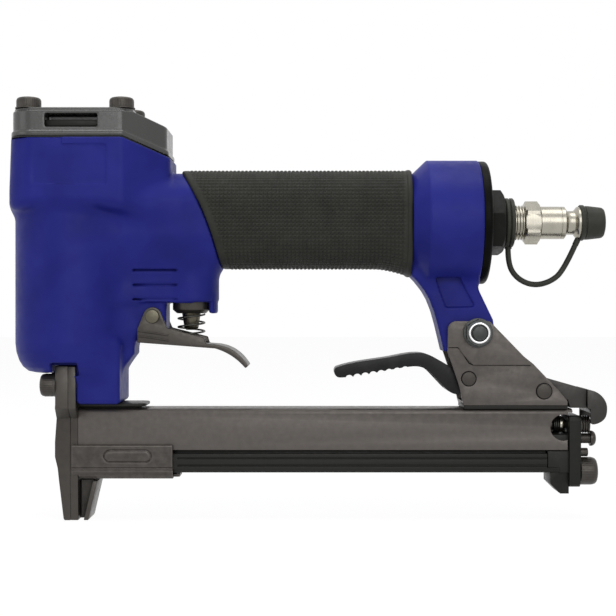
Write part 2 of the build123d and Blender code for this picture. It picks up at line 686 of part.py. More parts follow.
def bumper():
    """Rubber stop at the bottom of the cylinder, open for the blade."""
    ring = bar_z(SLEEVE_BORE - 2 * FIT, CHAMBER_Z, BUMPER_TOP)
    return ring - bar_z(BLADE_WIDTH / 2 + 0.9, CHAMBER_Z - 1, BUMPER_TOP + 1)


def ring_groove():
    """Bottom and top of the piston ring's groove."""
    middle = PISTON_Z + PISTON_HEIGHT * 0.6
    return middle - 1.2, middle + 1.2


def piston():
    """Driver piston with a ring groove and a slot for the blade."""
    low, high = ring_groove()
    body = bar_z(SLEEVE_BORE - FIT, PISTON_Z, PISTON_Z + PISTON_HEIGHT)
    body -= bar_z(SLEEVE_BORE, low, high) - bar_z(SLEEVE_BORE - 2, low, high)
    body -= bar_z(SLEEVE_BORE * 0.6, PISTON_Z + PISTON_HEIGHT - 3, PISTON_Z + PISTON_HEIGHT + 1)
    return body - blade_bar()


def piston_ring():
    """Seal ring in the piston's groove."""
    low, high = ring_groove()
    return bar_z(SLEEVE_BORE - FIT, low, high) - bar_z(SLEEVE_BORE - 2, low - 1, high + 1)


def blade_bar():
    """The blade's full bar, from its tip at rest into the piston."""
    return block(-BLADE_THICK / 2, BLADE_THICK / 2, -BLADE_WIDTH / 2, BLADE_WIDTH / 2,
                 TIP_Z, PISTON_Z + 5)


def driver_blade():
    """Flat driver blade that shears off and drives one staple."""
    return blade_bar()


def valve_stem_top():
    """Top of the head valve's stem at rest."""
    return SLEEVE_TOP + GAP + VALVE_DISC + VALVE_STEM_LENGTH


def head_valve():
    """Head valve disc over the liner, guided by its stem in the cap."""
    z = SLEEVE_TOP + GAP
    disc = bar_z(SLEEVE_R, z, z + VALVE_DISC)
    groove = bar_z(SLEEVE_R + 1, z + 2.4, z + 4.6) - bar_z(SLEEVE_R - 1.4, z + 2.4, z + 4.6)
    stem = bar_z(VALVE_STEM_R, z + VALVE_DISC, valve_stem_top())
    return disc + stem - groove - bar_z(VALVE_STEM_R - 3, z - 1, valve_stem_top() + 1)


def head_valve_seal():
    """O-ring in the head valve's groove."""
    return o_ring_z(CHAMBER_R - FIT, SLEEVE_R - 1.4, SLEEVE_TOP + GAP + 3.5)


def head_valve_spring():
    """Spring that presses the head valve down on the liner."""
    low = SLEEVE_TOP + GAP + VALVE_DISC
    return spring_z(VALVE_SPRING_R, VALVE_WIRE_R, low + FIT, CAP_Z - FIT, VALVE_COILS)


# ---------------------------------------------------------------- grip, tail and air fittings
def grip_sleeve():
    """Rubber grip pulled over the handle core, its front edge curved and slanted."""
    sleeve = handle_solid(0, CORE_FRONT) - handle_solid(GRIP_THICK, CORE_FRONT - 1)
    return sleeve - ahead_of_grip(0)


def tail_cap():
    """Disc that closes the air chamber, with a spigot in its bore."""
    disc = bar_x(TAIL_R, BULB_REAR, TAIL_REAR, INLET_Z)
    disc = fillet(disc.edges().group_by(Axis.X)[-1], 1.4)
    spigot = bar_x(BULB_BORE_R - FIT, BULB_REAR - TAIL_SPIGOT, BULB_REAR, INLET_Z)
    groove = tail_groove(BULB_BORE_R + 1) - tail_groove(BULB_BORE_R - 1.6)
    cap = disc + spigot - groove - bar_x(BUSHING_SPIGOT_R, BULB_REAR - 9, TAIL_REAR + 1, INLET_Z)
    for y, z in tail_screw_places():
        cap -= tail_screw(y, z)
    return cap


def tail_groove(r):
    """A disc of radius r as wide as the tail seal's groove."""
    return bar_x(r, BULB_REAR - 3.4, BULB_REAR - 1.4, INLET_Z)


def tail_seal():
    """O-ring around the tail cap's spigot."""
    wire = 0.8 - SEAL_NIP
    return Pos(BULB_REAR - 2.4, 0, INLET_Z) * Rot(0, 90, 0) * Torus(BULB_BORE_R - 0.8, wire)


def tail_screw(y, z):
    """Flush countersunk screw of the tail cap."""
    x = TAIL_REAR - 0.2
    shank = bar_x(TAIL_SCREW_R, TAIL_REAR - TAIL_SCREW_LENGTH, x, z, y)
    head = Pos(0, y, 0) * turned_x([(x - 2, 0), (x - 2, TAIL_SCREW_R), (x, 3.4), (x, 0)], z)
    return shank + head


def tail_screws():
    """Four flush screws of the tail cap."""
    recess = hex_x(2.6, TAIL_REAR - 1.6, TAIL_REAR, 0)
    return group([tail_screw(y, z) - Pos(0, y, z) * recess for y, z in tail_screw_places()])


def inlet_bushing():
    """Hexagonal reducing bushing screwed into the tail cap."""
    body = hex_x(BUSHING_FLATS, TAIL_REAR, BUSHING_REAR, INLET_Z, BUSHING_TURN)
    body &= turned_x([
        (TAIL_REAR, 0), (TAIL_REAR, BUSHING_FLATS * 0.58), (BUSHING_REAR - 1.2, BUSHING_FLATS * 0.58),
        (BUSHING_REAR, BUSHING_FLATS * 0.5), (BUSHING_REAR, 0),
    ], INLET_Z)
    spigot = bar_x(BUSHING_SPIGOT_R, BULB_REAR - TAIL_SPIGOT, TAIL_REAR, INLET_Z)
    return body + spigot - bar_x(THREAD_R, BULB_REAR - 9, BUSHING_REAR + 1, INLET_Z)


def air_plug():
    """Male quick-connect plug: thread, hexagon, smooth barrel, neck, collar and nose."""
    thread = bar_x(THREAD_R, BUSHING_REAR - 5, HEX_X, INLET_Z)
    hexagon = hex_x(PLUG_FLATS, HEX_X, PLUG_X, INLET_Z)
    turned = turned_x([
        (PLUG_X, 0), (PLUG_X, PLUG_R), (PLUG_NECK_X, PLUG_R), (PLUG_NECK_X + 1, PLUG_GROOVE_R),
        (COLLAR_X - 1.1, PLUG_GROOVE_R), (COLLAR_X, PLUG_R - 0.1), (NOSE_X, PLUG_R - 0.1),
        (NOSE_X, PLUG_NOSE_R), (NOSE_X + PLUG_NOSE_LENGTH - 0.6, PLUG_NOSE_R),
        (NOSE_X + PLUG_NOSE_LENGTH, PLUG_NOSE_R - 0.6), (NOSE_X + PLUG_NOSE_LENGTH, 0),
    ], INLET_Z)
    return thread + hexagon + turned - bar_x(PLUG_BORE_R, BULB_REAR, NOSE_X + 20, INLET_Z)


def tether_ring():
    """Rubber ring of the dust cap's tether, on the plug's thread, with a stub for the cord."""
    waist = RING_X + RING_LENGTH / 2
    ring = turned_x([
        (RING_X, THREAD_R), (RING_X, RING_R - 0.4), (RING_X + 0.4, RING_R), (waist - 0.4, RING_R),
        (waist, RING_R - 0.5), (waist + 0.4, RING_R), (RING_X + RING_LENGTH - 0.4, RING_R),
        (RING_X + RING_LENGTH, RING_R - 0.4), (RING_X + RING_LENGTH, THREAD_R),
    ], INLET_Z)
    stub_x, stub_z = tether_route()[0]
    return ring + bar_z(TETHER_R + 0.3, stub_z, INLET_Z - RING_R + 0.8, stub_x)


def dust_cap():
    """Rubber dust cap over the plug's nose, with a stub for the cord on its rim."""
    tip = DUST_X + DUST_LENGTH
    body = turned_x([
        (DUST_X, 0), (DUST_X, DUST_R), (DUST_X + 1.6, DUST_R), (DUST_X + 2.2, DUST_R - 0.35),
        (tip - 1.2, DUST_TIP_R), (tip, DUST_TIP_R - 1.2), (tip, 0),
    ], INLET_Z)
    before, end = [Vector(x, 0, z) for x, z in tether_route()[-2:]]
    along = (end - before).normalized()
    stub = rod(TETHER_R + 0.3, end, end + along * (TETHER_STUB + 1.5))
    bore = bar_x(PLUG_R - 0.1 + FIT, DUST_X - 5, NOSE_X + FIT, INLET_Z)
    bore += bar_x(PLUG_NOSE_R + FIT, DUST_X - 5, NOSE_X + PLUG_NOSE_LENGTH + 0.5, INLET_Z)
    return body + stub - bore


def tether_route():
    """Points of the tether from the ring's stub round to the dust cap's stub."""
    start = INLET_Z - RING_R - 0.5
    return [
        (RING_X + RING_LENGTH / 2, start), (RING_X + RING_LENGTH / 2, start - 5.9), (166.6, start - 11.2),
        (172.6, start - 13.8), (179.0, start - 12.4), (184.0, start - 8.2),
        (DUST_X - 1.2, INLET_Z - DUST_R - TETHER_STUB * 0.8),
    ]


def tether():
    """Rubber tether: straight runs joined by arcs as large as the runs allow."""
    points = [Vector(x, 0, z) for x, z in tether_route()]
    radii = []
    for before, here, after in zip(points, points[1:], points[2:]):
        turn = (here - before).get_angle(after - here)
        shorter = min((here - before).length, (after - here).length)
        radii.append(0.45 * shorter / tan_degrees(turn / 2))
    print("tether radii", [round(r, 1) for r in radii])
    path = FilletPolyline(*points, radius=radii)
    section = Plane(path @ 0, z_dir=path % 0) * Circle(TETHER_R)
    cord = sweep(section, path)
    print("tether volume", round(cord.volume, 1), "section x length",
          round(3.14159 * TETHER_R ** 2 * path.length, 1), "length", round(path.length, 1))
    return cord


def tan_degrees(angle):
    """Tangent of an angle in degrees."""
    direction = Vector(1, 0, 0).rotate(Axis.Z, angle)
    return direction.Y / direction.X


# ---------------------------------------------------------------- trigger and trigger valve
def trigger():
    """Sheet trigger: two cheeks on the pin, a flat web and a finger curl, with rolled edges."""
    inner = BOSS_HALF + GAP
    outer = inner + TRIGGER_SHEET
    base = TRIGGER_BASE
    front, crown_front, crown_rear, shoulder, heel, toe, knee, bend, tip = [
        TRIGGER_X + TRIGGER_REACH * share
        for share in (-0.162, -0.09, 0.09, 0.156, 0.549, 0.578, 0.665, 0.777, 1.0)]
    crown = TRIGGER_Z + TRIGGER_HEAD_R + 0.95
    cheek = side_solid([
        line((front, base), (front, base + 5.0), (crown_front, crown - 2.0)),
        arc((crown_front, crown - 2.0), (TRIGGER_X, crown), (crown_rear, crown - 2.0)),
        line((crown_rear, crown - 2.0), (shoulder, TRIGGER_Z - 4.3), (heel, base + 1.9), (toe, base - 1.4),
             (front, base)),
    ], inner, outer)
    knee_z = base - 2.2
    curl = knee_z - 7.3
    web = side_wide([
        line((front, base), (front, base + TRIGGER_SHEET), (knee, knee_z + TRIGGER_SHEET)),
        curve((knee, knee_z + TRIGGER_SHEET), (bend, knee_z + TRIGGER_SHEET - 0.8), (tip + 0.6, curl + 0.9)),
        line((tip + 0.6, curl + 0.9), (tip - 0.4, curl)),
        curve((tip - 0.4, curl), (bend - 0.6, knee_z - 1.2), (knee, knee_z)),
        line((knee, knee_z), (front, base)),
    ], outer)
    body = web + cheek + mirrored(cheek)
    return body - bar_y(TRIGGER_PIN_R + FIT, outer + 1, TRIGGER_X, TRIGGER_Z)


def trigger_pin():
    """Pin through the boss with a low head on each side of the trigger."""
    face = BOSS_HALF + GAP + TRIGGER_SHEET + GAP / 2
    pin = bar_y(TRIGGER_PIN_R, face + 0.6, TRIGGER_X, TRIGGER_Z)
    head = bar_y(TRIGGER_HEAD_R, face + 0.6, TRIGGER_X, TRIGGER_Z)
    return pin + (head - bar_y(TRIGGER_HEAD_R + 1, face, TRIGGER_X, TRIGGER_Z))


def valve_bushing():
    """Screwed-in body of the trigger valve."""
    low = HOUSING_Z - BUSH_OUT
    body = turned_z([
        (0, low), (BUSH_R - 1.6, low), (BUSH_R - FIT, low + 1.4),
        (BUSH_R - FIT, HOUSING_Z + BUSH_IN), (0, HOUSING_Z + BUSH_IN),
    ], VALVE_X)
    for z in seal_heights():
        body -= bar_z(BUSH_R + 1, z - 0.8, z + 0.8, VALVE_X) - bar_z(BUSH_R - 1.2, z - 0.8, z + 0.8, VALVE_X)
    body -= bar_z(PIN_VALVE_FOOT_R + 0.4, low - 1, HOUSING_Z + 3, VALVE_X)
    body -= bar_z(PIN_VALVE_R + FIT, low - 1, HOUSING_Z + BUSH_IN, VALVE_X)
    return body - bar_z(PIN_VALVE_HEAD_R + 0.4, HOUSING_Z + 7, HOUSING_Z + BUSH_IN + 1, VALVE_X)


def seal_heights():
    """Heights of the two O-rings on the valve bushing."""
    return HOUSING_Z + 5.0, HOUSING_Z + 12.0


def valve_seals():
    """Two O-rings on the valve bushing."""
    return group([o_ring_z(BUSH_R, BUSH_R - 1.2, z, VALVE_X) for z in seal_heights()])


def valve_stem():
    """Trigger valve's stem: a tapered foot for the trigger, a shank and a sealing head."""
    foot = HOUSING_Z - PIN_VALVE_REACH
    head = HOUSING_Z + 8.0
    return turned_z([
        (0, foot), (2.0, foot), (2.7, foot + 1.0), (PIN_VALVE_FOOT_R, HOUSING_Z - 1.0),
        (PIN_VALVE_FOOT_R, HOUSING_Z + 0.6), (PIN_VALVE_R, HOUSING_Z + 0.9),
        (PIN_VALVE_R, head), (PIN_VALVE_HEAD_R, head), (PIN_VALVE_HEAD_R, head + 3.0),
        (PIN_VALVE_R, head + 3.4), (PIN_VALVE_R, head + 5.5), (0, head + 5.5),
    ], VALVE_X)


def trigger_spring():
    """Loose spring between the valve bushing and the trigger."""
    low = TRIGGER_BASE - 1.3 + TRIGGER_SHEET
    high = HOUSING_Z - BUSH_OUT
    return spring_z(TRIGGER_SPRING_R, TRIGGER_WIRE_R, low + GAP, high - FIT, TRIGGER_COILS, VALVE_X)


# ---------------------------------------------------------------- nose
def nose_front_view(x0, x1):
    """Outline of the nose plates seen from the front: a wide yoke, the track and a tapering foot."""
    step_z = NECK_Z - 1.5
    half = [
        (FOOT_HALF, 0), (CHANNEL_HALF, RAIL_Z - 3), (CHANNEL_HALF, step_z - 4), (YOKE_HALF, step_z),
        (YOKE_HALF, PLATES_TOP),
    ]
    points = [(x0, y, z) for y, z in half] + [(x0, -y, z) for y, z in reversed(half)]
    return extrude(make_face(Polyline(points, close=True)), x1 - x0, dir=(1, 0, 0))


def nose_screw_bores():
    """The two holes for the nose screws through both plates."""
    z = NECK_Z + NOSE_SCREW_UP
    return [bar_x(NOSE_SCREW_R, PLATE_FRONT - 5, GUIDE_REAR + 5, z, y) for y in (-NOSE_SCREW_Y, NOSE_SCREW_Y)]


def front_plate():
    """Front nose plate with the blade's track in its back face."""
    belly = PLATE_FRONT - FRONT_PLATE_BELLY
    profile = side_wide([closed(
        (SPLIT_X, 0), (SPLIT_X, PLATES_TOP), (PLATE_FRONT, PLATES_TOP), (PLATE_FRONT, NECK_Z),
        (belly, RAIL_Z + 11.4), (belly, RAIL_Z + 5.9), (PLATE_FRONT, RAIL_Z + 1.7),
        (PLATE_FRONT + 2.0, 0.6), (PLATE_FRONT + 2.4, 0),
    )], YOKE_HALF + 1)
    plate = nose_front_view(belly, SPLIT_X) & profile
    track = block(-SPLIT_X, SPLIT_X, -BLADE_WIDTH / 2 - GAP, BLADE_WIDTH / 2 + GAP, -1, PLATES_TOP + 1)
    plate -= track
    for bore in nose_screw_bores():
        plate -= bore
    return plate


def driver_guide():
    """Rear nose plate with the window the staples come through, and the foot's ribbed fin."""
    plate = nose_front_view(SPLIT_X, GUIDE_REAR)
    window = wide(SPLIT_X - 1, GUIDE_REAR + 1, FLANGE_IN + GAP, RAIL_Z, CHANNEL_ROOF)
    low_x = GUIDE_REAR + FIN_DEPTH - FIN_LEAN
    high_x = GUIDE_REAR + FIN_DEPTH
    web = side_wide([closed(
        (GUIDE_REAR, 0), (low_x, 0), (high_x, FIN_HEIGHT), (GUIDE_REAR, FIN_HEIGHT),
    )], FIN_WEB_HALF)
    strip = side_wide([closed(
        (low_x - FIN_STRIP, 0), (low_x, 0), (high_x, FIN_HEIGHT), (high_x - FIN_STRIP, FIN_HEIGHT),
    )], FOOT_HALF)
    plate = plate - window + web + strip
    for bore in nose_screw_bores():
        plate -= bore
    return plate


def nose_screws():
    """Two socket head screws through the nose plates into the neck."""
    seat = PLATE_FRONT - WASHER_THICK
    z = NECK_Z + NOSE_SCREW_UP
    return group([socket_screw_x(NOSE_SCREW_R, NOSE_HEAD_R, NOSE_HEAD_LENGTH, NOSE_SCREW_LENGTH,
                                 seat, z, y, -1) for y in (-NOSE_SCREW_Y, NOSE_SCREW_Y)])


def nose_washers():
    """Spring washer under each nose screw."""
    z = NECK_Z + NOSE_SCREW_UP
    return group([bar_x(NOSE_WASHER_R, PLATE_FRONT - WASHER_THICK, PLATE_FRONT, z, y)
                  - bar_x(NOSE_SCREW_R, PLATE_FRONT - 2, PLATE_FRONT + 1, z, y)
                  for y in (-NOSE_SCREW_Y, NOSE_SCREW_Y)])


# ---------------------------------------------------------------- magazine, fixed half
def track_section(points, x0, x1):
    """A section given as (y, z) points of its left half, closed by its mirror image, along X."""
    outline = [(x0, y, z) for y, z in points] + [(x0, -y, z) for y, z in reversed(points)]
    return extrude(make_face(Polyline(outline, close=True)), x1 - x0, dir=(1, 0, 0))


def magazine_channel():
    """Fixed upside-down channel over the staple track."""
    channel = track_section([
        (CHANNEL_HALF, CHANNEL_SKIRT), (CHANNEL_HALF, CHANNEL_TOP - 1.6),
        (CHANNEL_HALF - 0.5, CHANNEL_TOP - 0.5), (CHANNEL_HALF - 1.6, CHANNEL_TOP),
    ], GUIDE_REAR, CHANNEL_REAR)
    channel -= wide(GUIDE_REAR - 1, CHANNEL_REAR + 1, CHANNEL_IN, CHANNEL_SKIRT - 1, CHANNEL_ROOF)
    channel -= wide(CHANNEL_SIDE_REAR, CHANNEL_REAR + 1, CHANNEL_HALF + 1, CHANNEL_SKIRT - 1, CHANNEL_ROOF)
    notch = bar_y(NOTCH_R, CHANNEL_HALF, CHANNEL_SIDE_REAR - 1.6, STUD_Z - 0.6)
    return channel - (notch & block(0, CHANNEL_REAR, -CHANNEL_HALF - 1, 0, 0, CHANNEL_ROOF))


def magazine_tab():
    """Plate that carries the channel's front end under the neck."""
    foot_z = NECK_Z - TAB_FLANGE
    tab = wide(GUIDE_REAR, GUIDE_REAR + TAB_LENGTH, CHANNEL_HALF, foot_z, NECK_Z)
    tab = fillet(tab.edges().filter_by(Axis.Z).group_by(Axis.X)[-1], 3)
    return tab + wide(GUIDE_REAR, GUIDE_REAR + TAB_LENGTH - 3, CHANNEL_HALF - 2.4, CHANNEL_TOP, foot_z)


def guide_clip():
    """Pressed clip round the rail at the nose, with a bead in each side."""
    outer = CHANNEL_HALF + CLIP_SHEET
    low = RAIL_Z - CLIP_DROP
    front = GUIDE_REAR - CLIP_OVERLAP
    rear = front + CLIP_LENGTH
    high = RAIL_Z + CLIP_RISE
    clip = track_section([
        (outer - 1.4, low), (outer - 0.4, low + 1.4), (outer, low + 3.2), (outer, high),
    ], front, rear)
    clip -= wide(front - 1, rear + 1, CHANNEL_HALF, RAIL_Z - 1, high + 1)
    clip -= wide(front - 1, GUIDE_REAR + 0.2, FOOT_HALF + 3, low - 1, RAIL_Z - 0.5)
    bead = Pos((front + rear) / 2 + 2, -outer, high - 3.9) * Rot(90, 0, 0) * extrude(
        SlotOverall(CLIP_BEAD_LENGTH, CLIP_BEAD_WIDTH), 0.5)
    tab = wide(rear - 0.5, rear + 2.2, 4.0, low + 0.2, low + 1.4)
    return clip + bead + mirrored(bead) + tab


def magazine_saddle():
    """Flat strip between the channel and the rear bracket."""
    return wide(BRACKET_FRONT + 6.0, BRACKET_REAR + 0.2, SADDLE_HALF, CHANNEL_TOP, BRACKET_Z)


# ---------------------------------------------------------------- rear bracket
def bracket_outline():
    """Side outline of the bracket's cheeks."""
    z = BRACKET_Z
    return [
        (BRACKET_FRONT + 6.0, z), (BRACKET_FRONT + 4.0, z + 8.0), (BRACKET_FRONT, LEVER_Z + 10.0),
        (BRACKET_FRONT, BOLT_Z - 3.0), (BRACKET_FRONT + 4, BOLT_Z + 1.5), (BOLT_X + 3, BOLT_Z + 2.5),
        (BRACKET_REAR - 12.5, LEVER_Z + 5.4), (BRACKET_REAR - 3.0, HOOK_Z), (BRACKET_REAR, z + 1.6),
        (BRACKET_REAR, z),
    ]


def rear_bracket():
    """U-shaped bracket on the saddle: base and two cheeks that carry leg, lever and hook."""
    body = side_wide([closed(*bracket_outline())], BRACKET_OUTER)
    body -= wide(BRACKET_FRONT - 5, BRACKET_REAR + 5, BRACKET_INNER, BRACKET_FLOOR, BOLT_Z + 20)
    return body - bracket_bores()


def bracket_bores():
    """Holes for the leg bolt, lever pin and hook pin."""
    bores = bar_y(BOLT_R, 20, BOLT_X, BOLT_Z)
    bores += bar_y(LEVER_PIN_R, 20, LEVER_X, LEVER_Z)
    bores += bar_y(HOOK_PIN_R, 20, HOOK_X, HOOK_Z)
    return bores


def leg_plates():
    """Outer plate over each cheek, from the leg bolt down to its stepped lower edge."""
    top = BOLT_Z + 4.3
    low = BOLT_Z - 5.3
    seam = LEVER_Z + 5.1
    plate = side_solid([
        line((BRACKET_FRONT, low), (BRACKET_FRONT, top - 3.0)),
        arc((BRACKET_FRONT, top - 3.0), (BRACKET_FRONT + 0.9, top - 0.9), (BRACKET_FRONT + 3.0, top)),
        line((BRACKET_FRONT + 3.0, top), (BOLT_X + 4.3, top), (BRACKET_REAR - 13.2, seam),
             (BOLT_X - 1.7, seam)),
        curve((BOLT_X - 1.7, seam), (BOLT_X - 4.3, seam + 2.6), (BOLT_X - 7.2, low)),
        line((BOLT_X - 7.2, low), (BRACKET_FRONT, low)),
    ], -LEG_PLATE_OUTER, -BRACKET_OUTER)
    return pair(plate - bar_y(BOLT_R, 20, BOLT_X, BOLT_Z))


def leg_bolt():
    """Bolt through the leg, its head on the far side."""
    far = LEG_PLATE_OUTER + WASHER_THICK
    shank = bar_y(BOLT_R, far + NUT_HEIGHT + 0.9, BOLT_X, BOLT_Z)
    shank &= block(BOLT_X - 9, BOLT_X + 9, -40, far, BOLT_Z - 9, BOLT_Z + 9)
    head = Pos(BOLT_X, far, BOLT_Z) * Rot(-90, 0, 0) * socket_screw_z(BOLT_R, 4.3, 4.8, 1.0, 0, 0, 0)
    return shank + head


def leg_nut():
    """Lock nut on the near end of the leg bolt: hexagon with a round collar."""
    face = LEG_PLATE_OUTER + WASHER_THICK
    nut = extrude(RegularPolygon(NUT_FLATS / 2, 6, major_radius=False), NUT_HEIGHT * 0.7)
    collar = Pos(0, 0, NUT_HEIGHT / 2) * Cylinder(NUT_RING_R, NUT_HEIGHT)
    shape = nut + collar - Cylinder(BOLT_R, 4 * NUT_HEIGHT)
    return Pos(BOLT_X, -face, BOLT_Z) * Rot(90, 0, 0) * shape


def leg_washers():
    """Washers under the bolt's head and nut."""
    washer = bar_y(BOLT_WASHER_R, LEG_PLATE_OUTER + WASHER_THICK, BOLT_X, BOLT_Z)
    washer -= bar_y(BOLT_WASHER_R + 1, LEG_PLATE_OUTER, BOLT_X, BOLT_Z)
    return washer - bar_y(BOLT_R, 30, BOLT_X, BOLT_Z)


def headed_pin(r, x, z):
    """Riveted pin through both cheeks with a low head on each side."""
    face = BRACKET_OUTER
    pin = bar_y(r, face + 0.7, x, z)
    head = bar_y(r + 0.3, face + 0.7, x, z) - bar_y(r + 2, face, x, z)
    return pin + head


def lever_pin():
    """Pivot pin of the release lever."""
    return headed_pin(LEVER_PIN_R, LEVER_X, LEVER_Z)


def hook_pin():
    """Pivot pin of the latch hook."""
    return headed_pin(HOOK_PIN_R, HOOK_X, HOOK_Z)


# ---------------------------------------------------------------- release lever and latch hook
def release_lever():
    """Finger lever with a waved underside; its inner arm presses on the hook's front arm."""
    x, z = LEVER_X, LEVER_Z
    top = shaped([
        (-98.6, 8.1), (-93.5, 9.7), (-77.3, 13.0), (-57.5, 16.0), (-38.9, 19.0), (-30.8, 18.2),
        (-23.9, 15.0), (-17.4, 11.3), (-8.5, 5.7),
    ], x, z, LEVER_REACH)
    under = shaped([
        (-6.7, -12.1), (-13.6, -10.1), (-19.4, -4.9), (-25.3, 1.4), (-31.4, 6.9), (-37.9, 8.9),
        (-45.1, 8.5), (-58.3, 6.3), (-73.3, 3.4), (-86.6, 1.2), (-95.3, 0.6),
    ], x, z, LEVER_REACH)
    inner_bend, finger_end = shaped([(-2.0, 2.0), (-100.0, 4.6)], x, z, LEVER_REACH)
    finger = side_wide([
        curve(*top), line(top[-1], inner_bend, under[0]), curve(*under), arc(under[-1], finger_end, top[0]),
    ], LEVER_HALF)
    hub = bar_y(LEVER_PIN_R + 1.9, LEVER_HALF, x, z)
    arm = side_wide([closed(*shaped([
        (0.0, 6.5), (23.3, 5.7), (26.7, 2.8), (25.1, -1.6), (0.0, -3.2),
    ], x, z, LEVER_REACH))], LEVER_HALF - 2.0)
    spring_room = block(x - LEVER_PIN_R - 2.3, HOOK_X, LEVER_SPRING_Y - GAP, LEVER_HALF + 1, z - 6, z + 4.6)
    hollow = side_wide([closed(*shaped([
        (-90.1, -12.1), (-90.1, 6.5), (-38.5, 15.0), (-16.2, 5.7), (-16.2, -12.1),
    ], x, z, LEVER_REACH))], LEVER_HALF - 1.8)
    body = finger - hollow + hub + arm - spring_room
    for rib in range(FINGER_RIBS):
        along = 5.6 + rib * FINGER_RIB_PITCH
        under_z = z + 0.006 * LEVER_REACH + 0.153 * (along - 2.3)
        body -= bar_y(FINGER_RIB_R, LEVER_HALF + 1, x - LEVER_REACH + along, under_z - FINGER_RIB_R + 0.45)
    return body - bar_y(LEVER_PIN_R + FIT, LEVER_HALF + 1, x, z)


def latch_hook():
    """Latch over the magazine's end plate: front arm, hub, body and a flared hood with two ears."""
    x, z = HOOK_X, HOOK_Z
    arm = side_wide([closed(*shaped([
        (-66.4, 13.0), (-56.7, 17.2), (0.0, 19.3), (0.0, -6.3), (-58.8, 2.5),
    ], x, z, HOOK_REACH))], LEVER_HALF - 2.0)
    hub = bar_y(HOOK_PIN_R + 0.95, HOOK_HALF, x, z)
    back = shaped([
        (0.0, 18.5), (6.3, 20.6), (39.5, 10.9), (71.4, 2.1), (71.4, -27.3),
    ], x, z, HOOK_REACH)
    body = side_wide([closed(*back, (BRACKET_REAR + 1.4, back[-1][1]), (BRACKET_REAR + 0.6, z - 3.2),
                             (x, z - 3.2))], HOOK_HALF)
    crown = shaped([
        (68.9, 2.9), (78.2, 0.8), (91.6, -7.6), (99.2, -20.6), (100.0, -30.3), (96.6, -42.9),
        (87.4, -50.4), (77.3, -52.9), (73.9, -51.3), (73.9, -27.3), (68.9, -27.3),
    ], x, z, HOOK_REACH)
    hood = side_wide([line(*crown[:2]), curve(*crown[1:8]), line(*crown[7:], crown[0])], HOOK_HOOD_HALF)
    hood -= wide(x + 16, x + HOOK_REACH + 2, HOOK_EAR_INNER, z - 20, CHANNEL_ROOF)
    return arm + hub + body + hood - bar_y(HOOK_PIN_R + FIT, HOOK_HALF + 1, x, z)


def lever_spring():
    """Torsion spring on the lever's pin, one tail down to the bracket's base, one under the arm."""
    x, z = LEVER_X, LEVER_Z
    inner = LEVER_SPRING_Y + LEVER_WIRE_R
    outer = BRACKET_INNER - GAP - LEVER_WIRE_R
    coil = spring_z(LEVER_SPRING_R, LEVER_WIRE_R, 0, BRACKET_INNER - GAP - LEVER_SPRING_Y, LEVER_COILS)
    coil = Pos(x, LEVER_SPRING_Y, z) * Rot(-90, 0, 0) * coil
    low_tail = bar_z(LEVER_WIRE_R, BRACKET_FLOOR + FIT, z, x + LEVER_SPRING_R, inner)
    bend = (x + LEVER_SPRING_TAIL, outer, z - LEVER_SPRING_DROP)
    back_tail = rod(LEVER_WIRE_R, (x, outer, z - LEVER_SPRING_R), bend)
    cross_tail = rod(LEVER_WIRE_R, bend, (x + LEVER_SPRING_TAIL, 0, z - LEVER_SPRING_DROP))
    return coil + low_tail + back_tail + cross_tail


# ---------------------------------------------------------------- magazine, sliding half
def staple_rail():
    """Sliding rail: slotted hollow core the staples ride on, with a flange on each side."""
    inner = CORE_HALF - RAIL_WALL
    rail = track_section([
        (CORE_SLOT, RAIL_TOP), (CORE_HALF, RAIL_TOP), (CORE_HALF, RAIL_Z + RAIL_FLOOR),
        (FLANGE_IN, RAIL_Z + RAIL_FLOOR), (FLANGE_IN, RAIL_Z + FLANGE_HEIGHT),
        (FLANGE_OUT, RAIL_Z + FLANGE_HEIGHT), (FLANGE_OUT, RAIL_Z + 1.0), (FLANGE_OUT - 0.8, RAIL_Z),
    ], SPLIT_X + 0.4, RAIL_REAR)
    rail -= wide(SPLIT_X, RAIL_REAR + 1, inner, RAIL_Z + RAIL_FLOOR, RAIL_TOP - RAIL_WALL)
    rail -= wide(SPLIT_X, RAIL_REAR + 1, CORE_SLOT, RAIL_Z + RAIL_FLOOR, RAIL_TOP + 1)
    front_stop = wide(SPLIT_X + 0.4, SPLIT_X + 3.0, inner, RAIL_Z + RAIL_FLOOR, RAIL_TOP - 6)
    rear_stop = wide(RAIL_CORE_REAR - 2.5, RAIL_CORE_REAR, inner, RAIL_Z + RAIL_FLOOR, RAIL_TOP)
    rail += front_stop + rear_stop
    rail -= wide(RAIL_CORE_REAR, RAIL_REAR + 1, 20, RAIL_Z + RAIL_FLOOR, RAIL_TOP + 1)
    for side in (-1, 1):
        y = side * (CORE_HALF + 0.5 + 5)
        rail -= block(SPLIT_X, GUIDE_REAR + GAP, y - 5, y + 5, RAIL_Z - 1, RAIL_TOP)
        groove_y = side * FLANGE_OUT
        for low, high in ((2.2, 3.0), (5.0, 5.6)):
            rail -= block(RAIL_GROOVE_X, RAIL_REAR + 1, groove_y - 0.4, groove_y + 0.4, RAIL_Z + low,
                          RAIL_Z + high)
    return rail - bar_x(ROD_R, SPLIT_X + 1.4, RAIL_REAR + 1, ROD_Z)


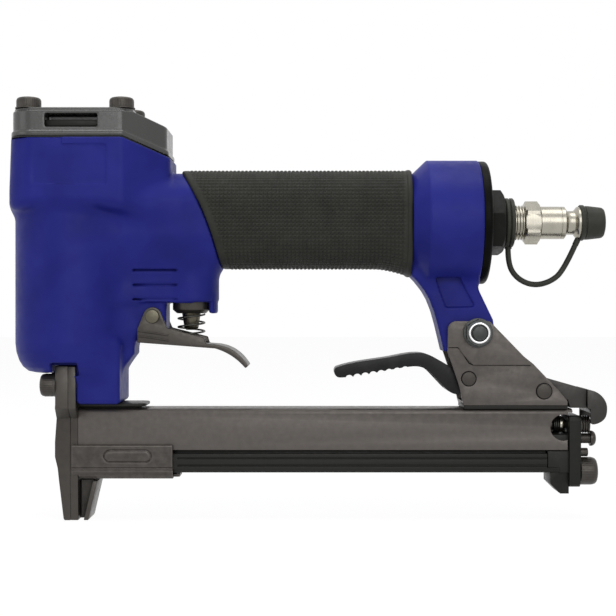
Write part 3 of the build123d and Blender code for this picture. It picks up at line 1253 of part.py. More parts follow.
def end_bracket():
    """Angle under the rail's rear end that the end plate is screwed to."""
    foot = side_wide([closed(
        (END_FOOT_X, RAIL_Z), (END_FOOT_X, RAIL_Z - END_FOOT_DROP + END_FOOT_CUT),
        (END_FOOT_X + END_FOOT_CUT, RAIL_Z - END_FOOT_DROP), (END_PLATE_X, RAIL_Z - END_FOOT_DROP),
        (END_PLATE_X, RAIL_Z),
    )], FLANGE_OUT - 0.8)
    floor = RAIL_Z + RAIL_FLOOR
    upright = wide(RAIL_REAR, END_PLATE_X, FLANGE_OUT - 0.4, RAIL_Z, RAIL_Z + 8.0)
    upright += wide(RAIL_CORE_REAR + GAP, END_PLATE_X, FLANGE_OUT - 0.4, floor, RAIL_Z + 8.0)
    upright += wide(RAIL_CORE_REAR + GAP, END_PLATE_X, CHANNEL_IN - 0.4, floor, STUD_Z - BUFFER_R - GAP)
    body = foot + upright
    body -= bar_x(END_SCREW_R, RAIL_REAR, END_PLATE_X + 1, END_SCREW_Z)
    body -= bar_x(ROD_R, RAIL_CORE_REAR, END_PLATE_X + 1, ROD_Z)
    return body - bar_x(STUD_R, RAIL_REAR - 1, END_PLATE_X + 1, LOW_STUD_Z)


def end_plate():
    """Plate that closes the magazine's rear end."""
    plate = wide(END_PLATE_X, END_PLATE_REAR, END_PLATE_HALF, RAIL_Z + END_PLATE_LOW, END_PLATE_TOP)
    plate = fillet(plate.edges().filter_by(Axis.X), 2.0)
    plate += wide(END_PLATE_REAR, END_SEAT, END_PAD_HALF, RAIL_Z - 3.6, STUD_Z + 2.6)
    plate -= bar_x(END_SCREW_R, END_PLATE_X - 1, END_SEAT + 1, END_SCREW_Z)
    plate -= bar_x(ROD_R, END_PLATE_X - 1, END_SEAT + 1, ROD_Z)
    for z in (LOW_STUD_Z, STUD_Z):
        plate -= bar_x(STUD_R, END_PLATE_X - 1, END_SEAT + 1, z)
    return plate


def end_screw():
    """Big socket head screw of the end plate."""
    length = END_SEAT - RAIL_REAR
    return socket_screw_x(END_SCREW_R, END_HEAD_R, END_HEAD_LENGTH, length, END_SEAT,
                          END_SCREW_Z, 0, 1)


def guide_rod():
    """Rod that guides the pusher and its spring."""
    return bar_x(ROD_R, SPLIT_X + 1.4, LATCH_NUT_REAR, ROD_Z)


def rod_button():
    """Domed button riveted on the guide rod's rear end."""
    neck = bar_x(BUTTON_NECK_R, END_SEAT, LATCH_NUT_REAR + GAP, ROD_Z)
    dome = bar_x(BUTTON_R, LATCH_NUT_REAR + GAP, LATCH_NUT_REAR + GAP + BUTTON_LENGTH, ROD_Z)
    dome = fillet(dome.edges().group_by(Axis.X)[-1], BUTTON_LENGTH * 0.8)
    return neck + dome - bar_x(ROD_R, END_SEAT - 1, LATCH_NUT_REAR, ROD_Z)


def end_studs():
    """Headed latch stud near the end plate's top, and a short stud below the guide rod."""
    latch = bar_x(STUD_R, END_PLATE_X - 5.4, LATCH_NUT_REAR, STUD_Z)
    latch += bar_x(STUD_R + 0.9, END_PLATE_X - 6.2, END_PLATE_X - 5.2, STUD_Z)
    return group([latch, bar_x(STUD_R, RAIL_REAR, END_SEAT + 3.2, LOW_STUD_Z)])


def latch_nut():
    """Ribbed nut on the latch stud, under the hook's hood."""
    nut = bar_x(LATCH_NUT_R, END_SEAT, LATCH_NUT_REAR, STUD_Z)
    for rib in (1, 2, 3):
        x = END_SEAT + rib * LATCH_NUT_LENGTH / 4
        groove = bar_x(LATCH_NUT_R + 1, x - 0.2, x + 0.2, STUD_Z)
        nut -= groove - bar_x(LATCH_NUT_R - 0.5, x - 1, x + 1, STUD_Z)
    return nut - bar_x(STUD_R, END_SEAT - 1, LATCH_NUT_REAR + 1, STUD_Z)


def buffer_washer():
    """Zinc washer on the latch stud."""
    washer = bar_x(BUFFER_R, END_PLATE_X - 2.4, END_PLATE_X - 1.2, STUD_Z)
    return washer - bar_x(STUD_R, END_PLATE_X - 9, END_PLATE_X + 1, STUD_Z)


def buffer_spring():
    """Short spring on the latch stud between its head and the washer."""
    return spring_x(STUD_R + 0.8, 0.35, END_PLATE_X - 5.2, END_PLATE_X - 2.4, 3, STUD_Z)


# ---------------------------------------------------------------- pusher
def pusher():
    """Saddle over the core that pushes the staples, with a slider on the guide rod."""
    front = SPLIT_X + PUSHER_NOSE
    rear = front + PUSHER_LENGTH
    under = RAIL_TOP + GAP
    skirt_in = CORE_HALF + 0.3
    saddle = wide(front, rear, skirt_in + 0.7, RAIL_TOP - 10, under + PUSHER_PLATE)
    saddle -= wide(front - 1, rear + 1, skirt_in, RAIL_TOP - 11, under)
    web = wide(front + 4, rear - 6, CORE_SLOT - 0.3, ROD_Z, under)
    slider = bar_x(ROD_R + 1.9, front + 4, rear - 8, ROD_Z)
    return saddle + web + slider - bar_x(ROD_R + FIT, front, rear, ROD_Z)


def pusher_spring():
    """Long spring on the guide rod behind the pusher."""
    start = SPLIT_X + PUSHER_NOSE + PUSHER_LENGTH - 6
    return spring_x(PUSHER_SPRING_R, PUSHER_WIRE_R, start + FIT, RAIL_CORE_REAR - 2.5 - FIT,
                    PUSHER_COILS, ROD_Z)


PARTS = [
    housing, cylinder_cap, exhaust_bar, cap_gasket, cap_screws, cap_screw_washers,
    cylinder_sleeve, sleeve_seals, bumper, piston, piston_ring, driver_blade,
    head_valve, head_valve_seal, head_valve_spring,
    grip_sleeve, tail_cap, tail_seal, tail_screws, inlet_bushing, air_plug, tether_ring, tether, dust_cap,
    trigger, trigger_pin, valve_bushing, valve_seals, valve_stem, trigger_spring,
    front_plate, driver_guide, nose_screws, nose_washers,
    magazine_channel, magazine_tab, guide_clip, magazine_saddle,
    rear_bracket, leg_plates, leg_bolt, leg_nut, leg_washers,
    lever_pin, hook_pin, release_lever, latch_hook, lever_spring,
    staple_rail, end_bracket, end_plate, end_screw, end_studs, guide_rod, rod_button,
    latch_nut, buffer_washer, buffer_spring, pusher, pusher_spring,
]


def main():
    os.makedirs("parts", exist_ok=True)
    for make in PARTS:
        export_step(make(), f"parts/{make.__name__}.step")


main()
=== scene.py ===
"""Looks of a pneumatic fine-wire stapler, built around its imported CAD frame.

Modelling sizes are in millimetres in the frame's axes: +X back to the air plug, +Y to the tool's
left, +Z up. Meshes are scaled to metres when they are made.
"""
import json
import math
from functools import reduce

import bmesh
import bpy
import numpy as np
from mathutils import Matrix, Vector


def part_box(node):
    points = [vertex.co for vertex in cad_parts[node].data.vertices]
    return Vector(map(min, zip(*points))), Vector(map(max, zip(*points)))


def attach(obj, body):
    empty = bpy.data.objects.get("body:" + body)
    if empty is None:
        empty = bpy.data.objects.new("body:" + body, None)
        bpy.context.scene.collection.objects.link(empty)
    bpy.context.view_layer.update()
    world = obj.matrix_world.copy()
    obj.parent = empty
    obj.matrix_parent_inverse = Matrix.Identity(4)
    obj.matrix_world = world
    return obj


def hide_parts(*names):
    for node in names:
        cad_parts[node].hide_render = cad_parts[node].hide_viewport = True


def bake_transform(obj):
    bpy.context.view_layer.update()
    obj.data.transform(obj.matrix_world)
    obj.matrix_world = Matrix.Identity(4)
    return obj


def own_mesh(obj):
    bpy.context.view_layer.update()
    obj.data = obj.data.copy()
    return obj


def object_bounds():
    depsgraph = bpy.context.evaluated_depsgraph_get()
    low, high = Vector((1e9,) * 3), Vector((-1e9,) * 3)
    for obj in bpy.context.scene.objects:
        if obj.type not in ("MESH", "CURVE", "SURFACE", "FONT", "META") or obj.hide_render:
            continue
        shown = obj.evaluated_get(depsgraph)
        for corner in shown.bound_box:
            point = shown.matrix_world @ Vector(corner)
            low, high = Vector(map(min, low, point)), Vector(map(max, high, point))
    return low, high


bl_info = {
    "name": "Fine-wire stapler",
    "version": (1, 0, 0),
    "blender": (4, 5, 0),
    "location": "View3D > Sidebar > Stapler",
    "description": "Builds the pieces and finishes of a pneumatic stapler around its CAD frame",
    "category": "Object",
}

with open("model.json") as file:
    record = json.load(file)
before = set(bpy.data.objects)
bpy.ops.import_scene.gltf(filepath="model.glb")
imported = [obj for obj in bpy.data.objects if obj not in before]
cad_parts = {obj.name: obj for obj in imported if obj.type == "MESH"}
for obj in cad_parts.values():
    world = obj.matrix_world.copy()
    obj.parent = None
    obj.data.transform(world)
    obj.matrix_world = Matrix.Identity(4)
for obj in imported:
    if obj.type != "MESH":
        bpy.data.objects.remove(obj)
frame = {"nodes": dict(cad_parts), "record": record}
CAD_BOX = [list(corner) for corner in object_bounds()]
MM = 0.001


def node_box(node):
    """Lowest and highest corner of a CAD node in millimetres."""
    low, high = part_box(node)
    return np.array(low) / MM, np.array(high) / MM


# -------------------- driving sizes, from the frame
HOUSING_LOW, HOUSING_HIGH = node_box("housing")
CAP_LOW, CAP_HIGH = node_box("cylinder_cap")
GRIP_HIGH = node_box("grip_sleeve")[1]
TAIL_LOW, TAIL_HIGH = node_box("tail_cap")
HEAD_Z = HOUSING_HIGH[2]
NECK_Z = HOUSING_LOW[2]
INLET_Z = (TAIL_LOW[2] + TAIL_HIGH[2]) / 2
VALVE_X = 44.5
BOLT_X, BOLT_Z = 150.5, 69.3
TETHER_END = (188.5, 102.32)          # x and z where the tether meets the dust cap
LENS_MM = 74.80519
MIDDLE = (0.088, 0, 0.08)             # metres, where the lights aim
BACKWARD, UPWARD = (1, 0, 0), (0, 0, 1)
GRIP_SECTION = (16.0, 18.2, 13.0)     # half width, half height and corner
HANDLE_Z = GRIP_HIGH[2] - GRIP_SECTION[1]
HANDLE_REACH = 19.7        # how far the grip's front curve is drawn above and below HANDLE_Z
BULB_REAR = 151.5
BARREL_R = 21.0
HEAD_BREAK_X = 21.5
HEAD_FALL = 7.3 / 18.4     # slope of the head's joint face behind the break
GRIP_REAR = GRIP_HIGH[0]


# -------------------- distance fields
def hyp(*parts):
    """Length of a vector given by its components."""
    return np.sqrt(sum(p * p for p in parts))


def polygon(u, v, points):
    """Signed distance to a closed polygon in the (u, v) plane."""
    u, v = np.broadcast_arrays(u, v)
    nearest = np.full(u.shape, 1e9)
    sign = np.ones(u.shape)
    for (au, av), (bu, bv) in zip(points, points[1:] + points[:1]):
        eu, ev = bu - au, bv - av
        wu, wv = u - au, v - av
        t = np.clip((wu * eu + wv * ev) / (eu * eu + ev * ev), 0, 1)
        nearest = np.minimum(nearest, (wu - eu * t) ** 2 + (wv - ev * t) ** 2)
        above, below, left = v >= av, v < bv, eu * wv > ev * wu
        crossing = (above & below & left) | ~(above | below | left)
        sign = np.where(crossing, -sign, sign)
    return sign * np.sqrt(nearest)


def inset(points, r):
    """A convex polygon with every side moved inwards by r."""
    sides = [(*a, *b) for a, b in zip(points, points[1:] + points[:1])]
    turn = math.copysign(1, sum(ax * by - bx * ay for ax, ay, bx, by in sides))
    lines = []
    for ax, ay, bx, by in sides:
        length = math.hypot(bx - ax, by - ay) * turn
        nx, ny = (ay - by) / length, (bx - ax) / length
        lines.append((nx, ny, nx * ax + ny * ay + r))
    moved = []
    for (a, b, c), (d, e, f) in zip(lines[-1:] + lines, lines):
        det = a * e - b * d
        moved.append(((c * e - b * f) / det, (a * f - c * d) / det))
    return moved


def rounded(u, v, points, r):
    """Signed distance to a convex polygon with rounded corners."""
    return polygon(u, v, inset(points, r)) - r


def both(a, b, r=0.0):
    """Intersection of two fields, its edge rounded by r."""
    if r == 0:
        return np.maximum(a, b)
    a, b = a + r, b + r
    return np.minimum(np.maximum(a, b), 0) + hyp(np.maximum(a, 0), np.maximum(b, 0)) - r


def join(a, b, blend=0.0):
    """Union of two fields with a fillet of about that size."""
    if np.all(blend == 0):
        return np.minimum(a, b)
    h = np.maximum(blend - np.abs(a - b), 0) / blend
    return np.minimum(a, b) - h * h * blend / 4


def cut(a, b, soft=0.0):
    """Field a with b taken out, its rim softened."""
    return -join(-a, b, soft)


def span(w, low, high):
    """Distance to the slab between two values."""
    return np.maximum(low - w, w - high)


def box_field(x, y, z, low, high, r=0.0):
    """Rounded box between two corners."""
    q = [span(w, a, b) + r for w, a, b in zip((x, y, z), low, high)]
    outside = hyp(*[np.maximum(d, 0) for d in q])
    return outside + np.minimum(np.maximum(np.maximum(q[0], q[1]), q[2]), 0) - r


def surface_net(field, low, high, step):
    """Quad mesh of the zero surface of a field that is the same on both sides of y = 0."""
    along, up = [np.arange(low[n] - step, high[n] + 2 * step, step) for n in (0, 2)]
    half = np.arange(0, high[1] + 2 * step, step)
    axes = [along, np.concatenate([-half[:0:-1], half]), up]
    near = np.broadcast_to(field(along[:, None, None], half[None, :, None], up[None, None, :]),
                           (len(along), len(half), len(up)))
    values = np.concatenate([near[:, :0:-1], near], 1)
    inside = values < 0
    corners = np.argwhere(np.ones((2, 2, 2)))
    count = sum(inside[tuple(slice(o, o + n - 1) for o, n in zip(c, inside.shape))].astype(np.int8)
                for c in corners)
    mixed = (count > 0) & (count < 8)
    cells = np.argwhere(mixed)
    total = np.zeros((len(cells), 3))
    hits = np.zeros(len(cells))
    unit = np.eye(3, dtype=int)
    for a in corners:
        for axis in np.flatnonzero(a == 0):
            va, vb = [values[tuple((cells + c).T)] for c in (a, a + unit[axis])]
            crossed = (va < 0) != (vb < 0)
            t = np.where(crossed, va / np.where(crossed, va - vb, 1), 0)
            total += (a + t[:, None] * unit[axis]) * crossed[:, None]
            hits += crossed
    points = np.array([a[0] for a in axes]) + (cells + total / hits[:, None]) * step
    index = np.full(mixed.shape, -1, np.int64)
    index[tuple(cells.T)] = np.arange(len(cells))
    faces = []
    for axis in range(3):
        u, v = [unit[n] for n in range(3) if n != axis]
        here = [slice(1, -1)] * 3
        there = list(here)
        here[axis], there[axis] = slice(0, -1), slice(1, None)
        a, b = inside[tuple(here)], inside[tuple(there)]
        for low_inside in (True, False):
            at = np.argwhere((a != b) & (a == low_inside))
            quad = np.array([index[tuple((at + p * u + q * v).T)]
                             for p, q in ((0, 0), (1, 0), (1, 1), (0, 1))]).T
            flip = low_inside != (axis == 1)
            faces.append(quad if flip else quad[:, ::-1])
    for _ in range(2):
        points = drawn_on(field, points, step)
    return points, np.concatenate(faces)


def drawn_on(field, points, step):
    """Points moved one Newton step onto the field's zero surface."""
    h = 0.02
    value = field(*points.T)
    slope = np.stack([(field(*(points + h * axis).T) - value) / h for axis in np.eye(3)], 1)
    move = slope * (value / np.maximum((slope ** 2).sum(1), 0.05))[:, None]
    length = np.maximum(hyp(*move.T), 1e-9)
    return points - move * np.minimum(1, 0.5 * step / length)[:, None]


# -------------------- meshes
def linked(name, data):
    """New object in the scene."""
    obj = bpy.data.objects.new(name, data)
    bpy.context.scene.collection.objects.link(obj)
    return obj


def piece(name, points, faces, node, finish=None, sharp=40.0, **stand_in):
    """Make a mesh object from millimetre points that stands for a CAD node."""
    mesh = bpy.data.meshes.new(name)
    mesh.from_pydata((np.asarray(points, float) * MM).tolist(), [], [list(map(int, f)) for f in faces])
    mesh.validate()
    mesh.shade_smooth()
    mesh.set_sharp_from_angle(angle=math.radians(sharp))
    return dressed(linked(name, mesh), node, finish, **stand_in)


def dressed(obj, node, finish=None, slot=None, rides=True, hides=True):
    """Give an object a finish, that of the CAD node's slot unless another is named, attach it to the node's
    body and hide that node.
    """
    slot = slot or SLOT_OF[node]
    body = BODY_OF[node] if rides else None
    replaced = [node] if hides else []
    obj.data.materials.clear()
    obj.data.materials.append(FINISHES[finish or slot])
    if body:
        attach(obj, body)
    if replaced:
        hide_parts(*replaced)
    return obj


def ring_faces(rings, sides, loop=False):
    """Quads between neighbouring rings of points; a loop joins the last ring to the first."""
    return [(i * sides + j, i * sides + (j + 1) % sides, (i + 1) % rings * sides + (j + 1) % sides,
             (i + 1) % rings * sides + j) for i in range(rings - (not loop)) for j in range(sides)]


def tube(points, radius, sides=12):
    """Closed tube along a line of points: its points and faces."""
    points = np.asarray(points, float)
    tangents = np.gradient(points, axis=0)
    tangents /= np.linalg.norm(tangents, axis=1)[:, None]
    up = np.cross(tangents[0], [0.0, 1.0, 0.0])
    if np.linalg.norm(up) < 0.1:
        up = np.cross(tangents[0], [1.0, 0.0, 0.0])
    rings = []
    for point, along in zip(points, tangents):
        up = up - along * (up @ along)
        up /= np.linalg.norm(up)
        side = np.cross(along, up)
        angles = np.linspace(0, 2 * math.pi, sides, endpoint=False)
        rings.append(point + radius * (np.cos(angles)[:, None] * up + np.sin(angles)[:, None] * side))
    faces = ring_faces(len(rings), sides)
    faces.append(tuple(range(sides))[::-1])
    faces.append(tuple((len(rings) - 1) * sides + j for j in range(sides)))
    return np.concatenate(rings), [f[::-1] for f in faces]


def outward(points, faces):
    """The same faces with their normals pointing out of the closed surface."""
    p = np.asarray(points, float)
    volume = sum(np.dot(p[f[0]], np.cross(p[f[i]], p[f[i + 1]])) for f in faces for i in range(1, len(f) - 1))
    return faces if volume > 0 else [f[::-1] for f in faces]


def lathe(rows, centre, axis, sides=48, loop=False, knurls=0):
    """Turned solid along an axis: rows of (along, radius, width across flats, knurl depth).

    A row with a width across flats is cut to a hexagon. A row of radius 0 closes an end, and a loop
    joins the last row to the first.
    """
    axis = np.array(axis, float)
    u = np.array([0.0, 0.0, 1.0]) if abs(axis[2]) < 0.5 else np.array([1.0, 0.0, 0.0])
    v = np.cross(axis, u)
    turn = np.linspace(0, 2 * math.pi, sides, endpoint=False)
    spoke = np.cos(turn)[:, None] * u + np.sin(turn)[:, None] * v
    flat = np.cos(np.mod(turn, math.pi / 3) - math.pi / 6)
    points, rings = [], []
    for row in rows:
        along, radius, flats, knurl = (*row, 0, 0)[:4]
        base = np.array(centre) + axis * along
        if radius == 0:
            rings.append([len(points)])
            points.append(base)
            continue
        reach = np.full(sides, float(radius))
        if flats:
            reach = np.minimum(reach, flats / 2 / flat)
        reach -= knurl * (0.5 + 0.5 * np.cos(turn * knurls))
        rings.append(list(range(len(points), len(points) + sides)))
        points += list(base + spoke * reach[:, None])
    faces = []
    for a, b in zip(rings, rings[1:] + (rings[:1] if loop else [])):
        for i in range(sides):
            j = (i + 1) % sides
            quad = [a[i % len(a)], a[j % len(a)], b[j % len(b)], b[i % len(b)]]
            faces.append(tuple(dict.fromkeys(quad)))
    return np.array(points), outward(points, faces)


def merged(*shapes):
    """Several closed shapes as one list of points and faces."""
    starts = np.cumsum([0] + [len(points) for points, _ in shapes])
    faces = [tuple(i + start for i in face) for (_, part), start in zip(shapes, starts) for face in part]
    return np.concatenate([points for points, _ in shapes]), faces


RECORD = frame["record"]
BODY_OF = {node: body for body, nodes in RECORD["behaviour"]["bodies"].items() for node in nodes}
SLOT_OF = {part["node"]: part["material_slot"] for part in RECORD["subparts"]}


def eased(node, width, finish=None, sharp=32.0):
    """Replace a CAD node by its copy with sharp edges rounded by width millimetres."""
    mesh = frame["nodes"][node].data.copy()
    work = bmesh.new()
    work.from_mesh(mesh)
    bmesh.ops.remove_doubles(work, verts=work.verts, dist=1e-6)
    bmesh.ops.dissolve_limit(work, angle_limit=math.radians(1.0), verts=work.verts, edges=work.edges)
    edges = [e for e in work.edges if len(e.link_faces) == 2 and e.calc_face_angle(0) > math.radians(sharp)]
    bmesh.ops.bevel(work, geom=edges, offset=width * MM, offset_type="OFFSET", segments=2, profile=0.5,
                    affect="EDGES", clamp_overlap=True)
    bmesh.ops.triangulate(work, faces=[f for f in work.faces if len(f.verts) > 4])
    for face in work.faces:
        face.smooth = True
    work.to_mesh(mesh)
    work.free()
    mesh.set_sharp_from_angle(angle=math.radians(sharp))
    dressed(linked(node + "_eased", mesh), node, finish)


# -------------------- finishes
class Nodes:
    """A node tree put together step by step."""

    def __init__(self, owner):
        owner.use_nodes = True
        self.tree = owner.node_tree
        self.tree.nodes.clear()

    def feed(self, socket, value):
        """Link a value to a socket, or set the socket's number or colour."""
        if isinstance(value, bpy.types.NodeSocket):
            self.tree.links.new(value, socket)
        else:
            socket.default_value = (*value[:3], 1) if isinstance(value, tuple) else value

    def node(self, kind, settings=None, **values):
        """Add a node, set its properties and feed its inputs by name or by _number."""
        made = self.tree.nodes.new(kind)
        for key, value in (settings or {}).items():
            setattr(made, key, value)
        for key, value in values.items():
            self.feed(made.inputs[int(key[1:]) if key[0] == "_" else key], value)
        return made

    def maths(self, operation, a, b=0.5):
        """One arithmetic step on two numbers or sockets."""
        return self.node("ShaderNodeMath", {"operation": operation}, _0=a, _1=b).outputs[0]


class Finish(Nodes):
    """A surface material made of noise, ramps and relief in millimetres."""

    def __init__(self, name):
        self.material = bpy.data.materials.new(name)
        super().__init__(self.material)
        self.shader = self.node("ShaderNodeBsdfPrincipled")
        self.node("ShaderNodeOutputMaterial", _0=self.shader.outputs[0])
        self.place = self.node("ShaderNodeTexCoord").outputs["Object"]

    def scaled(self, x, y, z):
        """Object coordinates stretched by a factor on each axis."""
        mapping = self.node("ShaderNodeMapping", _0=self.place)
        mapping.inputs["Scale"].default_value = (x, y, z)
        return mapping.outputs[0]

    def noise(self, size_mm, detail=3.0, stretch=(1, 1, 1)):
        """Noise whose grains measure about size_mm, stretched on each axis."""
        place = self.scaled(*[1 / s for s in stretch])
        made = self.node("ShaderNodeTexNoise", Vector=place, Scale=1 / (size_mm * MM), Detail=detail)
        return made.outputs["Fac"]

    def ramp(self, source, *stops):
        """Ramp through (position, value) stops."""
        made = self.node("ShaderNodeValToRGB", Fac=source)
        elements = made.color_ramp.elements
        while len(elements) < len(stops):
            elements.new(0.5)
        for element, (position, value) in zip(elements, stops):
            element.position = position
            element.color = (value, value, value, 1)
        return made.outputs["Color"]

    def mix(self, factor, a, b, blend="MIX"):
        """Mix two colours or colour sockets."""
        return self.node("ShaderNodeMix", {"data_type": "RGBA", "blend_type": blend},
                         _0=factor, _6=a, _7=b).outputs[2]

    def relief(self, height, depth_mm, below=None):
        """Bump the surface by a height map of that depth, on top of another bump."""
        under = {"Normal": below} if below else {}
        return self.node("ShaderNodeBump", Height=height, Distance=depth_mm * MM, Strength=1.0,
                         **under).outputs[0]

    def painted_crease_shade(self, tone, reach_mm=2.0, depth=0.75):
        """Painted shade: darken a colour where ambient occlusion finds the piece's own creases and grooves.
        """
        open_share = self.node("ShaderNodeAmbientOcclusion", {"samples": 6, "only_local": True},
                               Distance=reach_mm * MM).outputs["AO"]
        dark = self.ramp(open_share, (0.35, 1 - depth), (0.95, 1.0))
        return self.mix(1.0, tone, dark, "MULTIPLY")

    def edges(self):
        """1 on worn outer edges, 0 on flats."""
        return self.ramp(self.node("ShaderNodeNewGeometry").outputs["Pointiness"], (0.5, 0.0), (0.56, 1.0))

    def set(self, **values):
        """Feed inputs of the surface shader."""
        for key, value in values.items():
            self.feed(self.shader.inputs[key.replace("_", " ")], value)
        return self.material


def srgb(r, g, b):
    """Linear colour from 0 to 255 display values."""
    return tuple(((c / 255) / 12.92 if c / 255 <= 0.04045 else ((c / 255 + 0.055) / 1.055) ** 2.4)
                 for c in (r, g, b))


def shade(colour, factor, lift=0.0):
    """A colour made darker or lighter."""
    return tuple(min(c * factor + lift, 1) for c in colour)


def enamel(name, colour, roughness=0.45, grain=0.012, gloss=0.14):
    """Gloss paint on a casting: faint orange peel and clouding in its colour, and painted shade in its own
    creases.
    """
    f = Finish(name)
    cloud = f.noise(18.0, 2.0)
    tone = f.mix(f.ramp(cloud, (0.35, 0.0), (0.65, 1.0)), shade(colour, 0.86), shade(colour, 1.10, 0.002))
    peel = f.noise(1.3, 2.0)
    fine = f.noise(0.25, 2.0)
    rough = f.ramp(f.noise(3.0, 4.0), (0.3, roughness - 0.05), (0.7, roughness + 0.07))
    bump = f.relief(fine, grain * 0.4, f.relief(peel, grain))
    return f.set(Base_Color=f.painted_crease_shade(tone, 3.0, 0.5), Roughness=rough, Normal=bump, Specular_IOR_Level=gloss)


def blackened(name, colour, roughness=0.42, metallic=0.75, streak=(1, 1, 1), gloss=0.5, mottle=0.18):
    """Blackened or phosphated steel: drawn streaks, mottling, bright worn edges and painted shade in its
    creases.
    """
    f = Finish(name)
    spots = f.noise(2.2, 6.0)
    lines = f.noise(0.5, 3.0, streak)
    light = shade(colour, 1 + mottle, 0.003)
    tone = f.mix(f.ramp(spots, (0.35, 0.0), (0.68, 1.0)), shade(colour, 1 - mottle), light)
    tone = f.mix(f.ramp(lines, (0.4, 0.0), (0.75, 0.25)), tone, light)
    tone = f.mix(f.maths("MULTIPLY", f.edges(), 0.55), tone, shade(colour, 1.9, 0.03))
    rough = f.ramp(f.noise(1.4, 5.0), (0.3, roughness - 0.08), (0.7, roughness + 0.1))
    bump = f.relief(lines, 0.010, f.relief(f.noise(0.35, 3.0), 0.006))
    return f.set(Base_Color=f.painted_crease_shade(tone), Roughness=rough, Metallic=metallic, Normal=bump,
                 Specular_IOR_Level=gloss)


def plated(name, colour, roughness=0.22, streak=(1, 1, 1), metallic=1.0):
    """Bright plated or turned steel with fine tool lines."""
    f = Finish(name)
    lines = f.noise(0.3, 3.0, streak)
    haze = f.noise(6.0, 3.0)
    tone = f.mix(f.ramp(haze, (0.35, 0.0), (0.7, 1.0)), shade(colour, 0.85), colour)
    rough = f.ramp(lines, (0.3, roughness - 0.05), (0.7, roughness + 0.08))
    return f.set(Base_Color=tone, Roughness=rough, Metallic=metallic, Normal=f.relief(lines, 0.004))


def moulded(name, colour, roughness=0.55, grain=0.02, gloss=0.25):
    """Moulded rubber or plastic with a fine matt grain and painted shade in its creases."""
    f = Finish(name)
    grain_map = f.noise(0.35, 4.0)
    cloud = f.noise(9.0, 3.0)
    tone = f.mix(f.ramp(cloud, (0.35, 0.0), (0.7, 1.0)), shade(colour, 0.82), shade(colour, 1.15, 0.002))
    rough = f.ramp(f.noise(2.0, 4.0), (0.3, roughness - 0.06), (0.7, roughness + 0.08))
    return f.set(Base_Color=f.painted_crease_shade(tone, 0.8, 0.6), Roughness=rough, Normal=f.relief(grain_map, grain),
                 Specular_IOR_Level=gloss)


FINISHES = {}


def make_finishes(colours):
    """One material for each slot of the record, and those for single pieces."""
    FINISHES.update(
        painted_blue=enamel("Blue paint", tuple(colours.paint)),
        cast_black=enamel("Black cap paint", srgb(54, 54, 52), 0.24, 0.02, 0.7),
        black_steel=blackened("Blackened steel", srgb(54, 50, 45), 0.36, 0.5),
        rail_steel=blackened("Blackened rail", srgb(20, 20, 16), 0.38, 0.1, (40, 1, 1), 0.14),
        lever_steel=blackened("Blackened lever", srgb(18, 18, 18), 0.34, 0.1, gloss=0.14),
        gun_steel=blackened("Phosphated sheet", srgb(72, 67, 63), 0.40, 0.5, (30, 1, 1), mottle=0.24),
        zinc_steel=plated("Zinc plate", srgb(172, 168, 156), 0.26, (1, 30, 30)),
        bright_steel=plated("Turned steel", srgb(100, 96, 82), 0.34, (20, 1, 1), 0.8),
        grip_rubber=moulded("Grip rubber", srgb(48, 49, 43), 0.55, 0.02, 0.2),
        soft_rubber=moulded("Soft rubber", srgb(60, 61, 54), 0.5, 0.012, 0.2),
        seal_rubber=moulded("Seal rubber", srgb(30, 30, 30), 0.5, 0.01),
        bumper_rubber=moulded("Bumper rubber", srgb(190, 165, 110), 0.45, 0.01),
        liner_alloy=plated("Liner alloy", srgb(165, 165, 170), 0.3),
        spring_steel=blackened("Spring wire", srgb(60, 60, 56), 0.35, 0.8),
        tail_plastic=moulded("Tail disc", srgb(4, 6, 3), 0.4, 0.01, 0.06),
        bushing_steel=blackened("Bushing", srgb(15, 15, 12), 0.40, 0.05, (1, 20, 20), 0.08),
        # near-black finish for thin pieces that paint the shadow along contact lines
        seam_black=moulded("Seam", srgb(10, 10, 10), 0.6, 0.01, 0.1),
        hook_steel=blackened("Blackened latch", srgb(42, 40, 36), 0.36, 0.2, gloss=0.34),
        pin_steel=blackened("Riveted pin", srgb(50, 46, 41), 0.45, 0.5),
        white_zinc=plated("Bright zinc", srgb(240, 240, 240), 0.2),
        dark_core=blackened("Bolt end", srgb(52, 55, 53), 0.4, 0.6))


# -------------------- casting
def head_plan(x, y, margin, corner):
    """Distance to the head's plan outline moved in by a margin: bowed front, closing in behind."""
    front = both(np.abs(y) - 22.3 + margin, hyp(x - 37.3, y) - 59.5 + margin, corner)
    points = [(-30.0, -22.3), (HEAD_BREAK_X, -22.3), (37.8, -12.0), (37.8, 12.0), (HEAD_BREAK_X, 22.3),
              (-30.0, 22.3)]
    return np.maximum(front, rounded(x, y, points, 3.2 + np.max(margin)) + margin)


def head_joint(x):
    """Height of the head's joint face at x."""
    return HEAD_Z - HEAD_FALL * np.maximum(x - HEAD_BREAK_X, 0)


def grip_front(z):
    """X of the grip's curved front edge at height z, a circle through three points."""
    arc = np.array([(40.4, HANDLE_Z + HANDLE_REACH), (51.4, HANDLE_Z - 1.0), (56.4, HANDLE_Z - HANDLE_REACH)])
    middle_x, middle_z, power = np.linalg.solve(np.column_stack([2 * arc, np.ones(3)]), (arc ** 2).sum(1))
    square = power + middle_x ** 2 + middle_z ** 2 - (z - middle_z) ** 2
    return middle_x + np.sqrt(np.maximum(square, 1.0))


def round_section(y, z, half_y, half_z, corner):
    """Distance to the handle's rounded section."""
    return both(np.abs(y) - half_y, np.abs(z - HANDLE_Z) - half_z, corner)


